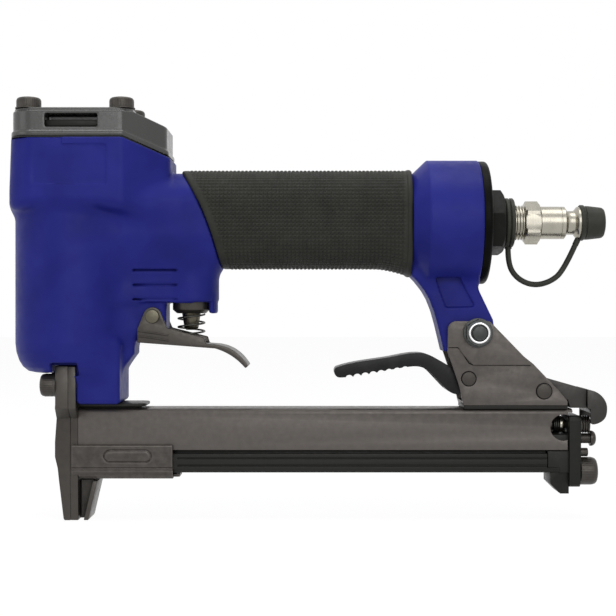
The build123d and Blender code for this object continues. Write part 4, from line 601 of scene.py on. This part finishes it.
def casting_field(x, y, z):
    """The one-piece housing: head, barrel, neck, trigger housing, handle, bulb and leg."""
    rho = hyp(x, y)
    barrel = polygon(rho, z, [
        (-1.0, 54.6), (13.8, 54.6), (16.2, 55.1), (18.2, 56.7), (19.6, 59.0), (20.6, 62.0),
        (BARREL_R, 65.4), (BARREL_R, HEAD_Z - 4), (-1.0, HEAD_Z - 4)])
    draft = np.where(x < 0, np.clip((z - 121.0) * 0.033, 0, 0.6), 0.0)
    side = polygon(x, z, [
        (-26.0, HEAD_Z + 20), (44.0, HEAD_Z + 20), (44.0, 111.0), (33.0, 111.6), (26.0, 112.4),
        (12.0, 114.6), (-8.0, 114.8), (-17.0, 113.6), (-26.0, 111.2)])
    head = both(both(head_plan(x, y, draft, 6.6), side, 4.0), z - head_joint(x), 0.35)
    body = np.maximum(join(barrel, head, 3.0), -22.15 - x)

    neck = box_field(x, y, z, (3.4, -13, NECK_Z), (19.4, 13, 66), 1.6)
    rib = both(polygon(x, z, [(0, 84), (0, 54.6), (18.5, 54.6), (24.1, 61.5), (24.1, 84)]),
               np.abs(y) - 8.0, 1.5)
    body = join(body, join(neck, rib, 2.0), 5.0)

    web = box_field(x, y, z, (10, -9.6, 80.6), (46, 9.6, 108), 1.2)
    well = both(hyp(x - VALVE_X, y) - 10.35, span(z, 80.6, 108), 1.2)
    boss = box_field(x, y, z, (10, -8, 68.8), (35.8, 8, 84), 2.2)
    lip = both(box_field(x, y, z, (51.4, -5.5, 76.4), (54.4, 5.5, 84), 1.0), hyp(x - VALVE_X, y) - 10.2, 0.4)
    shoulder = both(round_section(y, z, 15.0, 17.2, 12.0), 8.0 - x)
    shoulder = both(shoulder, x - grip_front(z) + 0.35, 0.5)
    lower = join(join(join(web, well, 1.5), boss, 1.0), lip, 0.6)
    body = join(body, shoulder, 1.0 + 5.0 * np.clip((127.0 - z) / 9.0, 0, 1))
    body = join(body, lower, 6.0)
    body = both(body, x - np.maximum(grip_front(z) + 0.35, 54.9))

    core = both(round_section(y, z, 13.2, 15.4, 10.2), span(x, 30, GRIP_REAR + 2))
    around = hyp(y, z - INLET_Z)
    bulb = rounded(x, around, [
        (BULB_REAR, -9.0), (BULB_REAR, 23.2), (132.3, 23.2), (127.6, 18.7), (GRIP_REAR, 17.7),
        (GRIP_REAR, -9.0)], 0.7)
    leg = polygon(x, z, [
        (126.6, 90.4), (128.6, 88.3), (130.9, 85.2), (132.9, 81.7), (134.6, 77.4), (136.0, 72.4),
        (138.4, 62.4), (158.0, 62.4), (156.6, 74.0), (149.8, 88.2), (146.0, 104.0), (126.6, 104.0)])
    leg = both(leg, np.abs(y) - 8.0, 1.2)
    panel = rounded(x, z, [(134.9, 89.8), (143.9, 89.8), (149.9, 78.8), (139.0, 78.6)], 0.8)
    panel = both(panel, 7.1 - np.abs(y), 0.4)
    rear = cut(join(bulb, leg, 4.0), panel, 0.5)
    body = join(body, join(rear, core, 0.5))

    label = both(rounded(x, z, [(-10.6, HEAD_Z - 16.9), (16.0, HEAD_Z - 16.9), (16.0, HEAD_Z - 2.5),
                                (-10.6, HEAD_Z - 2.5)], 0.8), 21.95 - np.abs(y), 0.2)
    body = cut(body, label, 0.3)
    for step in range(3):
        height = 92.3 - 5.35 * step
        groove = box_field(x, np.abs(y), z, (23.8, 9.0, height - 0.35), (40.2, 12.0, height + 0.35), 0.2)
        body = cut(body, groove, 0.5)
    return cut(body, casting_bores(x, y, z, rho, around), 0.2)


def casting_bores(x, y, z, rho, around):
    """Cylinder chamber, nose pocket, air way, valve bore and bolt hole."""
    return reduce(join, [
        both(rho - 16.8, span(z, 60.0, HEAD_Z + 20)),
        box_field(x, y, z, (-6.5, -13.05, 40.0), (3.4, 13.05, 57.4)),
        box_field(x, np.abs(y), z, (-4.9, 12.0, 53.6), (4.9, 22.0, 58.7), 0.8),
        box_field(x, y, z, (-1.0, -6.8, 50.0), (1.0, 6.8, 61.0)),
        both(around - 9.5, span(x, 10.0, BULB_REAR + 5)),
        both(around - 14.5, span(x, BULB_REAR - 16, BULB_REAR + 5)),
        both(hyp(x - VALVE_X, y) - 7.05, span(z, 70.0, 97.6)),
        hyp(x - BOLT_X, z - BOLT_Z) - 2.6])


class STAPLER_OT_casting(bpy.types.Operator):
    """Painted one-piece housing with its blends, label field, grooves and bores"""
    bl_idname = "stapler.casting"
    bl_label = "Painted casting"

    def execute(self, context):
        step = context.scene.stapler_sizes.casting_step / MM
        net = surface_net(casting_field, HOUSING_LOW - 0.6, HOUSING_HIGH + 0.6, step)
        piece("painted_casting", *net, "housing", sharp=50)
        return {"FINISHED"}


# -------------------- cylinder cap
def cap_field(x, y, z):
    """Cast cap: flange, body with a window in each side, stepped roof and a sloping tail."""
    crest = CAP_HIGH[2] - 0.415 * np.maximum(x - 24.6, 0)
    joint = head_joint(x) + 0.5

    def layer(margin, low, high, corner, edge):
        return both(head_plan(x, y, margin, corner), span(z, low, high), edge)

    body = layer(1.32, joint, crest - 1.1, 5.3, 0.5)
    flange = layer(0.72, joint, joint + 1.9, 5.9, 0.45)
    roof = both(layer(1.9, crest - 2.4, crest, 4.8, 0.5), x - 25.0, 0.6)
    shape = join(join(body, flange, 0.6), roof)
    window = box_field(x, np.abs(y), z, (-6.3, 14.0, 143.5), (12.6, 30.0, 148.4), 0.6)
    shape = cut(shape, window, 0.25)
    shape = cut(shape, both(hyp(x, y) - 6.05, z - 145.2))     # head valve's guide pocket
    for sx in (-13.1, 20.6):
        shape = cut(shape, hyp(x - sx, np.abs(y) - 15.5) - 2.52)
    return shape


class STAPLER_OT_cap(bpy.types.Operator):
    """Black cast cap over the cylinder"""
    bl_idname = "stapler.cap"
    bl_label = "Cylinder cap"

    def execute(self, context):
        step = context.scene.stapler_sizes.casting_step / MM * 0.75
        net = surface_net(cap_field, CAP_LOW - 0.6, CAP_HIGH + 0.6, step)
        piece("cast_cap", *net, "cylinder_cap", sharp=50)
        return {"FINISHED"}


# -------------------- grip
def section_ring(count, half_y, half_z, corner):
    """Points and outward normals round the handle's section, evenly spaced, from the top."""
    straight_y, straight_z = 2 * (half_y - corner), 2 * (half_z - corner)
    quarter = math.pi / 2 * corner
    length = 2 * straight_y + 2 * straight_z + 4 * quarter
    runs = [(straight_y, half_z), (straight_z, half_y)] * 2
    out = []
    for i in range(count):
        s = i / count * length + straight_y / 2
        turn = 0
        while turn < 3 and s >= runs[turn][0] + quarter:
            s -= runs[turn][0] + quarter
            turn += 1
        run, across = runs[turn]
        a = max(s - run, 0) / corner
        nu, nv = math.sin(a), math.cos(a)
        u, v = min(s, run) - run / 2 + corner * nu, across - corner + corner * nv
        for _ in range(turn):
            u, v, nu, nv = v, -u, nv, -nu
        out.append((u, v, nu, nv))
    return np.array(out), length


def flare_drop(x):
    """How far the grip's underside is lowered towards its rear end."""
    t = np.clip((x - 113.5) / (GRIP_REAR - 113.5), 0, 1)
    return 3.0 * t ** 1.6


class STAPLER_OT_grip(bpy.types.Operator):
    """Rubber grip with a fine square knurl between smooth end bands"""
    bl_idname = "stapler.grip"
    bl_label = "Knurled grip"

    def execute(self, context):
        sizes = context.scene.stapler_sizes
        pitch, depth = sizes.knurl_pitch / MM, sizes.knurl_depth / MM
        _, length = section_ring(8, *GRIP_SECTION)
        cells = round(length / pitch)
        ring, _ = section_ring(cells * 4, *GRIP_SECTION)
        y, up, ny, nz = ring.T
        z = up + HANDLE_Z
        front = grip_front(np.clip(z, HANDLE_Z - HANDLE_REACH, HANDLE_Z + HANDLE_REACH))
        across = np.arange(cells * 4) % 4
        start, stop = front.min(), GRIP_REAR
        rows = []

        def row(x, out):
            drop = flare_drop(x) * np.clip(-nz, 0, 1)
            rows.append(np.stack([x + 0 * y, y + ny * out, z + nz * out - drop], 1))

        for step, out in ((0.0, -2.4), (0.0, -0.7), (0.35, -0.15), (0.9, 0.0), (1.8, 0.0)):
            row(front + step, out)
        count = int((stop - start) / (pitch / 4))
        for i in range(count):
            x = start + i * pitch / 4
            edge = np.minimum(x - front - 2.2, stop - 2.6 - x)
            pad = (i % 4 != 0) & (across != 0)
            crest = (i % 4 == 2) & (across == 2)
            raised = np.where(pad, depth * 0.78, 0.0) + np.where(crest, depth * 0.22, 0.0)
            fade = np.clip(edge / 0.8, 0, 1)
            row(np.maximum(x, front + 1.8), raised * fade - 0.25 * fade)
            if x > stop - 2.4:
                break
        for x, out in ((stop - 2.2, -0.3), (stop - 1.9, 0.2), (stop - 1.2, 0.38), (stop - 0.5, 0.25),
                       (stop - 0.05, -0.2), (stop, -0.8), (stop, -2.4)):
            row(x + 0 * y, out)
        grip = piece("knurled_grip", np.concatenate(rows), ring_faces(len(rows), len(ring), True),
                     "grip_sleeve", sharp=60)
        work = bmesh.new()
        work.from_mesh(grip.data)
        bmesh.ops.remove_doubles(work, verts=work.verts, dist=0.02 * MM)
        bmesh.ops.recalc_face_normals(work, faces=work.faces)
        work.to_mesh(grip.data)
        work.free()
        return {"FINISHED"}


# -------------------- tether
class STAPLER_OT_tether(bpy.types.Operator):
    """Rubber tether between the ring on the plug's thread and the dust cap"""
    bl_idname = "stapler.tether"
    bl_label = "Tether"

    def execute(self, context):
        curve = bpy.data.curves.new("tether_line", "CURVE")
        curve.dimensions = "3D"
        spline = curve.splines.new("NURBS")
        route = [(163.2, 100.55), (163.2, 94.65), (166.6, 89.35), (172.6, 86.75), (179.0, 88.15),
                 (184.0, 92.35), TETHER_END]
        spline.points.add(len(route) - 1)
        for point, (x, z) in zip(spline.points, route):
            point.co = (x * MM, 0, z * MM, 1)
        spline.order_u = 3
        spline.use_endpoint_u = True
        spline.resolution_u = 12
        guide = linked("tether_line", curve)
        line = bpy.data.meshes.new_from_object(guide)
        path = np.array([v.co for v in line.vertices])
        bpy.data.objects.remove(guide)
        bpy.data.meshes.remove(line)
        cord = piece("rubber_tether", *tube(path / MM, 1.05, 16), "tether", sharp=60, rides=False)
        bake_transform(cord)
        return {"FINISHED"}


# -------------------- pieces with eased edges
# node: width of the rounded edge in millimetres, and the finish where it is not the slot's
EASED = {
    "front_plate": (0.35,), "driver_guide": (0.3,), "nose_washers": (0.12,), "magazine_channel": (0.5,),
    "magazine_tab": (0.3, "rail_steel"), "magazine_saddle": (0.3, "rail_steel"),
    "staple_rail": (0.25, "rail_steel"), "end_bracket": (0.4, "rail_steel"),
    "end_plate": (0.4, "rail_steel"), "end_studs": (0.3,), "rod_button": (0.2,), "latch_nut": (0.12,),
    "buffer_washer": (0.15,), "guide_rod": (0.2, "rail_steel"), "pusher": (0.3, "rail_steel"),
    "rear_bracket": (0.25,), "leg_plates": (0.3,), "leg_bolt": (0.3, "dark_core"),
    "leg_washers": (0.2, "dark_core"), "release_lever": (0.8, "lever_steel"),
    "latch_hook": (0.9, "hook_steel"), "trigger": (0.4,), "trigger_pin": (0.25,),
    "valve_bushing": (0.25,), "valve_stem": (0.2, "bright_steel"), "tail_cap": (0.4,),
    "tail_screws": (0.15,), "inlet_bushing": (0.4, "bushing_steel"), "tether_ring": (0.4,),
    "cap_screw_washers": (0.12,), "exhaust_bar": (0.3, "rail_steel"), "cap_gasket": (0.1,),
}


class STAPLER_OT_eased_pieces(bpy.types.Operator):
    """Plates, screws, levers and turned pieces with their edges eased"""
    bl_idname = "stapler.eased_pieces"
    bl_label = "Eased pieces"

    def execute(self, context):
        for node, row in EASED.items():
            eased(node, *row)
        return {"FINISHED"}


# node, joint, axis, which end stays, how much it shortens in millimetres
SPRUNG = [("head_valve_spring", "main_valve_lift", 2, 1, 3.2),
          ("trigger_spring", "pilot_valve_slide", 2, 1, 7.2),
          ("pusher_spring", "follower_slide", 0, 1, 120.5), ("bumper", "driver_stroke", 2, 0, 0.3)]


class STAPLER_OT_springs(bpy.types.Operator):
    """Springs and the bumper as copies of their CAD nodes that take their places"""
    bl_idname = "stapler.springs"
    bl_label = "Springs"

    def execute(self, context):
        for node, joint, axis, end, travel in SPRUNG:
            box = node_box(node)
            obj = dressed(linked(node + "_sprung", frame["nodes"][node].data.copy()), node)
            anchor = (box[0] + box[1]) / 2
            anchor[axis] = box[end][axis]
            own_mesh(obj)
        return {"FINISHED"}


class STAPLER_OT_inner_works(bpy.types.Operator):
    """Finishes of the pieces inside that keep their CAD shape"""
    bl_idname = "stapler.inner_works"
    bl_label = "Inner works"

    def execute(self, context):
        for node, obj in frame["nodes"].items():
            if node not in EASED:
                obj.data.materials.clear()
                obj.data.materials.append(FINISHES[SLOT_OF[node]])
        return {"FINISHED"}


# -------------------- turned pieces
def socket_screw(centre, axis, head_r, head, shank_r, length):
    """Domed socket head screw with a knurled rim, seated at centre with its head along the axis."""
    hexagon = head_r * 0.96
    rows = [(-length, 0), (-length, shank_r), (0, shank_r), (0.03, head_r * 0.97), (0.4, head_r, 0, 0.09),
            (head * 0.66, head_r, 0, 0.09), (head * 0.74, head_r * 0.985), (head * 0.88, head_r * 0.93),
            (head * 0.96, head_r * 0.83), (head, head_r * 0.68), (head, head_r * 0.6),
            (head - 0.25, head_r * 0.55, hexagon), (head * 0.4, head_r * 0.55, hexagon),
            (head * 0.36, 0)]
    return lathe(rows, centre, axis, 144, knurls=36)


class STAPLER_OT_screws(bpy.types.Operator):
    """Knurled socket screws of the cap, the nose and the magazine's end"""
    bl_idname = "stapler.screws"
    bl_label = "Socket screws"

    def execute(self, context):
        low, high = node_box("cap_screws")
        head = 3.7
        shapes = [socket_screw((x, y, high[2] - head), UPWARD, 4.48, head, 2.46, high[2] - head - low[2])
                  for x in (low[0] + 4.5, high[0] - 4.5) for y in (low[1] + 4.5, high[1] - 4.5)]
        piece("cap_screw_set", *merged(*shapes), "cap_screws", sharp=35)
        low, high = node_box("nose_screws")
        shapes = [socket_screw((low[0] + 5.0, y, (low[2] + high[2]) / 2), (-1, 0, 0), 4.23, 5.0, 2.46,
                               high[0] - low[0] - 5.0) for y in (low[1] + 4.25, high[1] - 4.25)]
        piece("nose_screw_set", *merged(*shapes), "nose_screws", sharp=35)
        low, high = node_box("end_screw")
        shape = socket_screw((high[0] - 6.4, 0, (low[2] + high[2]) / 2), BACKWARD, 5.18, 6.4, 2.96,
                             high[0] - 6.4 - low[0])
        piece("end_screw_knurled", *shape, "end_screw", sharp=35)
        return {"FINISHED"}


class STAPLER_OT_plug(bpy.types.Operator):
    """Air plug with thread crests, chamfered hexagon, barrel, neck and collar"""
    bl_idname = "stapler.plug"
    bl_label = "Air plug"

    def execute(self, context):
        low, high = node_box("air_plug")
        tip = high[0]
        hexagon = tip - 28.6
        rows = [(tip - back, radius) for back, radius in (
            (38, 0), (38, 3.0), (0.2, 3.0), (0, 3.2), (0, 3.8), (0.6, 4.38), (7.25, 4.38), (7.3, 4.6),
            (7.3, 5.8), (7.45, 6.0), (8.65, 6.0), (8.9, 5.85), (9.9, 4.55), (10.2, 4.45), (12.3, 4.45),
            (12.6, 4.6), (13.4, 5.75), (13.6, 6.05), (14.9, 6.08), (15.0, 5.85), (15.3, 5.85),
            (15.4, 6.08))]
        rows += [(hexagon + 6.0, 6.08), (hexagon + 5.8, 5.8), (hexagon + 5.6, 5.8),
                 (hexagon + 5.6, 7.1, 14.0), (hexagon + 5.1, 8.08, 14.0), (hexagon + 0.5, 8.08, 14.0),
                 (hexagon, 7.1, 14.0), (hexagon, 5.7)]
        for turn in range(7):
            crest = hexagon - 0.35 - 1.1 * turn
            rows += [(crest, 5.85), (crest - 0.3, 6.5), (crest - 0.55, 6.5), (crest - 0.85, 5.85)]
        rows += [(low[0], 5.8), (low[0], 0)]
        piece("turned_plug", *lathe(rows, (0, 0, INLET_Z), BACKWARD, 72), "air_plug", sharp=30)
        return {"FINISHED"}


class STAPLER_OT_dust_cap(bpy.types.Operator):
    """Rubber dust cap with its rim, a shallow groove and the stub of its tether"""
    bl_idname = "stapler.dust_cap"
    bl_label = "Dust cap"

    def execute(self, context):
        rim, tip = 189.7, node_box("dust_cap")[1][0]
        rows = [(tip - 0.8, 0), (tip - 0.8, 4.45)]
        rows += [(rim + back, radius) for back, radius in (
            (0.65, 4.45), (0.65, 6.06), (0, 6.06), (0, 6.45), (0.25, 6.7), (1.3, 6.7), (1.6, 6.5),
            (1.75, 6.15), (2.1, 6.12), (2.25, 6.32), (3.2, 6.3))]
        rows += [(tip - front, radius) for front, radius in (
            (1.6, 5.8), (0.8, 5.62), (0.25, 5.2), (0, 4.5), (0, 3.2), (0.15, 3.0), (0.15, 0))]
        cap = lathe(rows, (0, 0, INLET_Z), BACKWARD, 64)
        end = np.array([TETHER_END[0], 0, TETHER_END[1]])
        stub = tube([end + t * np.array([0.42, 0, 0.9]) for t in (-0.35, 0.0, 0.9, 2.0)], 1.14, 16)
        piece("rubber_dust_cap", *merged(cap, stub), "dust_cap", sharp=35)
        return {"FINISHED"}


class STAPLER_OT_leg_nut(bpy.types.Operator):
    """Lock nut of the leg: dark hexagon with a bright rolled collar"""
    bl_idname = "stapler.leg_nut"
    bl_label = "Leg nut"

    def execute(self, context):
        low, high = node_box("leg_nut")
        centre = ((low[0] + high[0]) / 2, high[1], (low[2] + high[2]) / 2)
        hexagon = [(0, 2.52), (0, 4.8, 9.0), (0.3, 5.15, 9.0), (2.4, 5.15, 9.0), (2.78, 4.6, 9.0),
                   (2.78, 2.52)]
        collar = [(2.8, 2.95), (3.7, 2.95), (3.95, 3.15), (4.0, 3.4), (3.95, 3.7), (3.7, 3.93), (2.8, 3.93)]
        near = (0, -1, 0)
        piece("nut_hexagon", *lathe(hexagon, centre, near, 72, True), "leg_nut", "dark_core", 30)
        piece("nut_collar", *lathe(collar, centre, near, 72, True), "leg_nut", "white_zinc", 50,
              hides=False)
        return {"FINISHED"}


class STAPLER_OT_pins(bpy.types.Operator):
    """Riveted pins of the rear bracket, each head ringed by a thin black ring of painted shadow"""
    bl_idname = "stapler.pins"
    bl_label = "Riveted pins"

    def execute(self, context):
        for node in ("lever_pin", "hook_pin"):
            low, high = node_box(node)
            centre = ((low[0] + high[0]) / 2, 0, (low[2] + high[2]) / 2)
            r = (high[0] - low[0]) / 2
            out = high[1]
            half = [(out, 0), (out, r * 0.82), (out - 0.12, r * 0.93), (out - 0.35, r * 0.985),
                    (out - 0.7, r)]
            rows = half + [(-a, b) for a, b in reversed(half)]
            piece(node + "_riveted", *lathe(rows, centre, (0, 1, 0)), node, "pin_steel", 30)
            # thin black rings behind each pin head paint the contact shadow round it
            rings = [lathe([(side * (out - 0.7), r), (side * (out - 0.7), r + 0.28),
                            (side * (out - 0.62), r + 0.24), (side * (out - 0.6), r)], centre, (0, 1, 0), 48,
                           True) for side in (-1, 1)]
            piece(node + "_seam", *merged(*rings), node, "seam_black", slot="black_steel", hides=False)
        return {"FINISHED"}


class STAPLER_OT_plate_shadow(bpy.types.Operator):
    """Painted shadow: a thin black tube under the stepped lower edge of each leg plate"""
    bl_idname = "stapler.plate_seam"
    bl_label = "Leg plate seam"

    def execute(self, context):
        low, high = node_box("leg_plates")
        step, foot = low[2] + 6.5, low[2]
        line = [(low[0] + 0.6, step), (142.8, step), (143.6, step - 0.3), (144.9, step - 1.6),
                (146.2, foot + 2.4), (147.4, foot + 0.7), (148.8, foot + 0.05), (high[0] - 0.8, foot)]
        # black tubes along the plates' lower edges paint the shadow under them
        shadow_lines = [tube([(x, side * 9.56, z - 0.12) for x, z in line], 0.17, 8) for side in (-1, 1)]
        piece("leg_plate_painted_shadows", *merged(*shadow_lines), "leg_plates", "seam_black", 60, hides=False)
        return {"FINISHED"}


class STAPLER_OT_clip(bpy.types.Operator):
    """Pressed guide clip with a sunk line round its bead and a folded lower lip"""
    bl_idname = "stapler.clip"
    bl_label = "Guide clip"

    def execute(self, context):
        low, high = node_box("guide_clip")
        front, rear, floor, top = low[0], high[0] - 2.2, low[2], high[2]
        outer = 9.4     # half width

        def field(x, y, z):
            ay = np.abs(y)
            wall = outer - np.clip(floor + 3.2 - z, 0, 9) * 0.3 - np.clip(floor + 1.2 - z, 0, 9) * 0.8
            for line, sink in ((floor + 4.2, 0.28), (floor + 3.3, 0.34)):
                wall = wall - sink * np.exp(-((z - line) / 0.22) ** 2)
            reach = hyp(np.maximum(np.abs(x - (front + rear) / 2 - 2.0) - 6.5, 0), z - (top - 3.9))
            wall = wall + 0.42 / (1 + np.exp((reach - 1.75) / 0.14))
            wall = wall - 0.26 * np.exp(-((reach - 2.25) / 0.22) ** 2)
            shell = both(both(ay - wall, span(z, floor, top), 0.25), span(x, front, rear), 0.2)
            shell = cut(shell, both(ay - 8.22, 16.6 - z))
            shell = cut(shell, box_field(x, y, z, (front - 1, -10.2, floor - 1), (3.6, 10.2, 17.1)))
            lip = box_field(x, y, z, (rear - 0.6, -4.0, floor + 0.2), (rear + 2.2, 4.0, floor + 1.4), 0.3)
            return join(shell, lip)

        piece("pressed_clip", *surface_net(field, low - 0.5, high + 0.5, 0.32), "guide_clip")
        return {"FINISHED"}


class STAPLER_OT_trigger_ribs(bpy.types.Operator):
    """Two folded ribs along the foot of each trigger cheek"""
    bl_idname = "stapler.trigger_ribs"
    bl_label = "Trigger ribs"

    def execute(self, context):
        side = node_box("trigger")[1][1] - 0.12
        ribs = [tube([(25.6, y, 70.0 + rise), (31.0, y, 69.3 + rise), (37.0, y, 68.3 + rise)], 0.42, 10)
                for rise in (0.0, -1.9) for y in (-side, side)]
        piece("trigger_ribs", *merged(*ribs), "trigger", sharp=60, hides=False)
        return {"FINISHED"}


# -------------------- stage
def area_light(name, size, place, power):
    """Soft rectangular light aimed at the tool's middle."""
    light = bpy.data.lights.new(name, "AREA")
    light.shape = "RECTANGLE"
    light.size, light.size_y = size
    light.energy = power
    obj = linked(name, light)
    obj.location = place
    obj.rotation_euler = (Vector(MIDDLE) - Vector(place)).to_track_quat("-Z", "Y").to_euler()


def background_share(nodes):
    """1 for rays that should see the pale background: camera, glossy and transmission rays."""
    ways = nodes.node("ShaderNodeLightPath").outputs
    glossy = nodes.maths("MAXIMUM", ways["Is Camera Ray"], ways["Is Glossy Ray"])
    return nodes.maths("MAXIMUM", glossy, ways["Is Transmission Ray"])


class STAPLER_OT_stage(bpy.types.Operator):
    """Pale floor and backdrop, soft lights and the camera"""
    bl_idname = "stapler.stage"
    bl_label = "Stage"

    def execute(self, context):
        scene = context.scene
        scene.view_settings.view_transform = "Standard"
        camera = bpy.data.cameras.new("camera")
        camera.lens = LENS_MM
        camera.sensor_width = 36
        camera.clip_start = 0.01
        holder = linked("camera", camera)
        holder.location = (0.0882, -0.48, 0.0784)
        holder.rotation_euler = (math.pi / 2, 0, 0)
        scene.camera = holder

        world = bpy.data.worlds.new("studio")
        sky = Nodes(world)
        seen = sky.node("ShaderNodeBackground", _0=(1, 1, 1))
        lit = sky.node("ShaderNodeBackground", _0=(0.95, 0.97, 1), _1=0.16)
        mix = sky.node("ShaderNodeMixShader", _0=background_share(sky), _1=lit.outputs[0],
                       _2=seen.outputs[0])
        sky.node("ShaderNodeOutputWorld", _0=mix.outputs[0])
        scene.world = world

        floor = bpy.data.meshes.new("floor")
        reach = 3.0
        floor.from_pydata([(-reach, -reach, 0), (reach, -reach, 0), (reach, reach, 0), (-reach, reach, 0)],
                          [], [(0, 1, 2, 3)])
        ground = linked("floor", floor)
        ground.location = (0, 0, CAD_BOX[0][2] - 0.0002)
        paper = bpy.data.materials.new("Pale floor")
        sheet = Nodes(paper)
        matt = sheet.node("ShaderNodeBsdfDiffuse", _0=(0.85, 0.85, 0.85))
        glow = sheet.node("ShaderNodeEmission", _0=(1, 1, 1), _1=1.12)
        share = sheet.maths("MULTIPLY", background_share(sheet), 0.85)
        mix = sheet.node("ShaderNodeMixShader", _0=share, _1=matt.outputs[0], _2=glow.outputs[0])
        sheet.node("ShaderNodeOutputMaterial", _0=mix.outputs[0])
        floor.materials.append(paper)

        area_light("front_light", (0.9, 0.6), (0.25, -1.0, 0.45), 3.4)
        area_light("top_light", (0.8, 0.5), (0.1, -0.1, 0.9), 3.2)
        area_light("left_light", (0.5, 0.7), (-0.8, -0.5, 0.3), 0.8)
        return {"FINISHED"}


# -------------------- add-on
class StaplerSizes(bpy.types.PropertyGroup):
    """Sizes a user would change"""
    casting_step: bpy.props.FloatProperty(
        name="Casting detail", description="Mesh spacing of the castings", default=0.0006,
        min=0.0003, max=0.002, unit="LENGTH", precision=5)
    knurl_pitch: bpy.props.FloatProperty(
        name="Knurl pitch", description="Spacing of the grip's knurl", default=0.00145,
        min=0.0008, max=0.004, unit="LENGTH", precision=5)
    knurl_depth: bpy.props.FloatProperty(
        name="Knurl depth", description="Height of the grip's knurl", default=0.00042,
        min=0.0, max=0.001, unit="LENGTH", precision=5)


class StaplerColours(bpy.types.PropertyGroup):
    """Colours a user would change"""
    paint: bpy.props.FloatVectorProperty(
        name="Paint", description="Colour of the painted casting", subtype="COLOR", size=3,
        default=srgb(38, 43, 138), min=0, max=1)


PIECES = [STAPLER_OT_casting, STAPLER_OT_cap, STAPLER_OT_grip, STAPLER_OT_tether,
          STAPLER_OT_screws, STAPLER_OT_plug, STAPLER_OT_dust_cap, STAPLER_OT_leg_nut, STAPLER_OT_pins,
          STAPLER_OT_plate_shadow, STAPLER_OT_clip, STAPLER_OT_trigger_ribs, STAPLER_OT_eased_pieces,
          STAPLER_OT_springs, STAPLER_OT_inner_works]


class STAPLER_PT_pieces(bpy.types.Panel):
    """Sizes, colours and pieces of the stapler"""
    bl_label = "Stapler"
    bl_idname = "STAPLER_PT_pieces"
    bl_space_type = "VIEW_3D"
    bl_region_type = "UI"
    bl_category = "Stapler"

    def draw(self, context):
        column = self.layout.column()
        for group in (context.scene.stapler_sizes, context.scene.stapler_colours):
            for key in group.__annotations__:
                column.prop(group, key)
        for operator in (STAPLER_OT_stage, *PIECES):
            column.operator(operator.bl_idname)


CLASSES = [StaplerSizes, StaplerColours, STAPLER_OT_stage, *PIECES, STAPLER_PT_pieces]


def register():
    for item in CLASSES:
        bpy.utils.register_class(item)
    bpy.types.Scene.stapler_sizes = bpy.props.PointerProperty(type=StaplerSizes)
    bpy.types.Scene.stapler_colours = bpy.props.PointerProperty(type=StaplerColours)


def unregister():
    del bpy.types.Scene.stapler_colours
    del bpy.types.Scene.stapler_sizes
    for item in reversed(CLASSES):
        bpy.utils.unregister_class(item)


def main():
    register()
    bpy.ops.stapler.stage()
    make_finishes(bpy.context.scene.stapler_colours)
    for operator in PIECES:
        getattr(bpy.ops.stapler, operator.bl_idname.split(".")[1])()


if __name__ == "__main__":
    main()
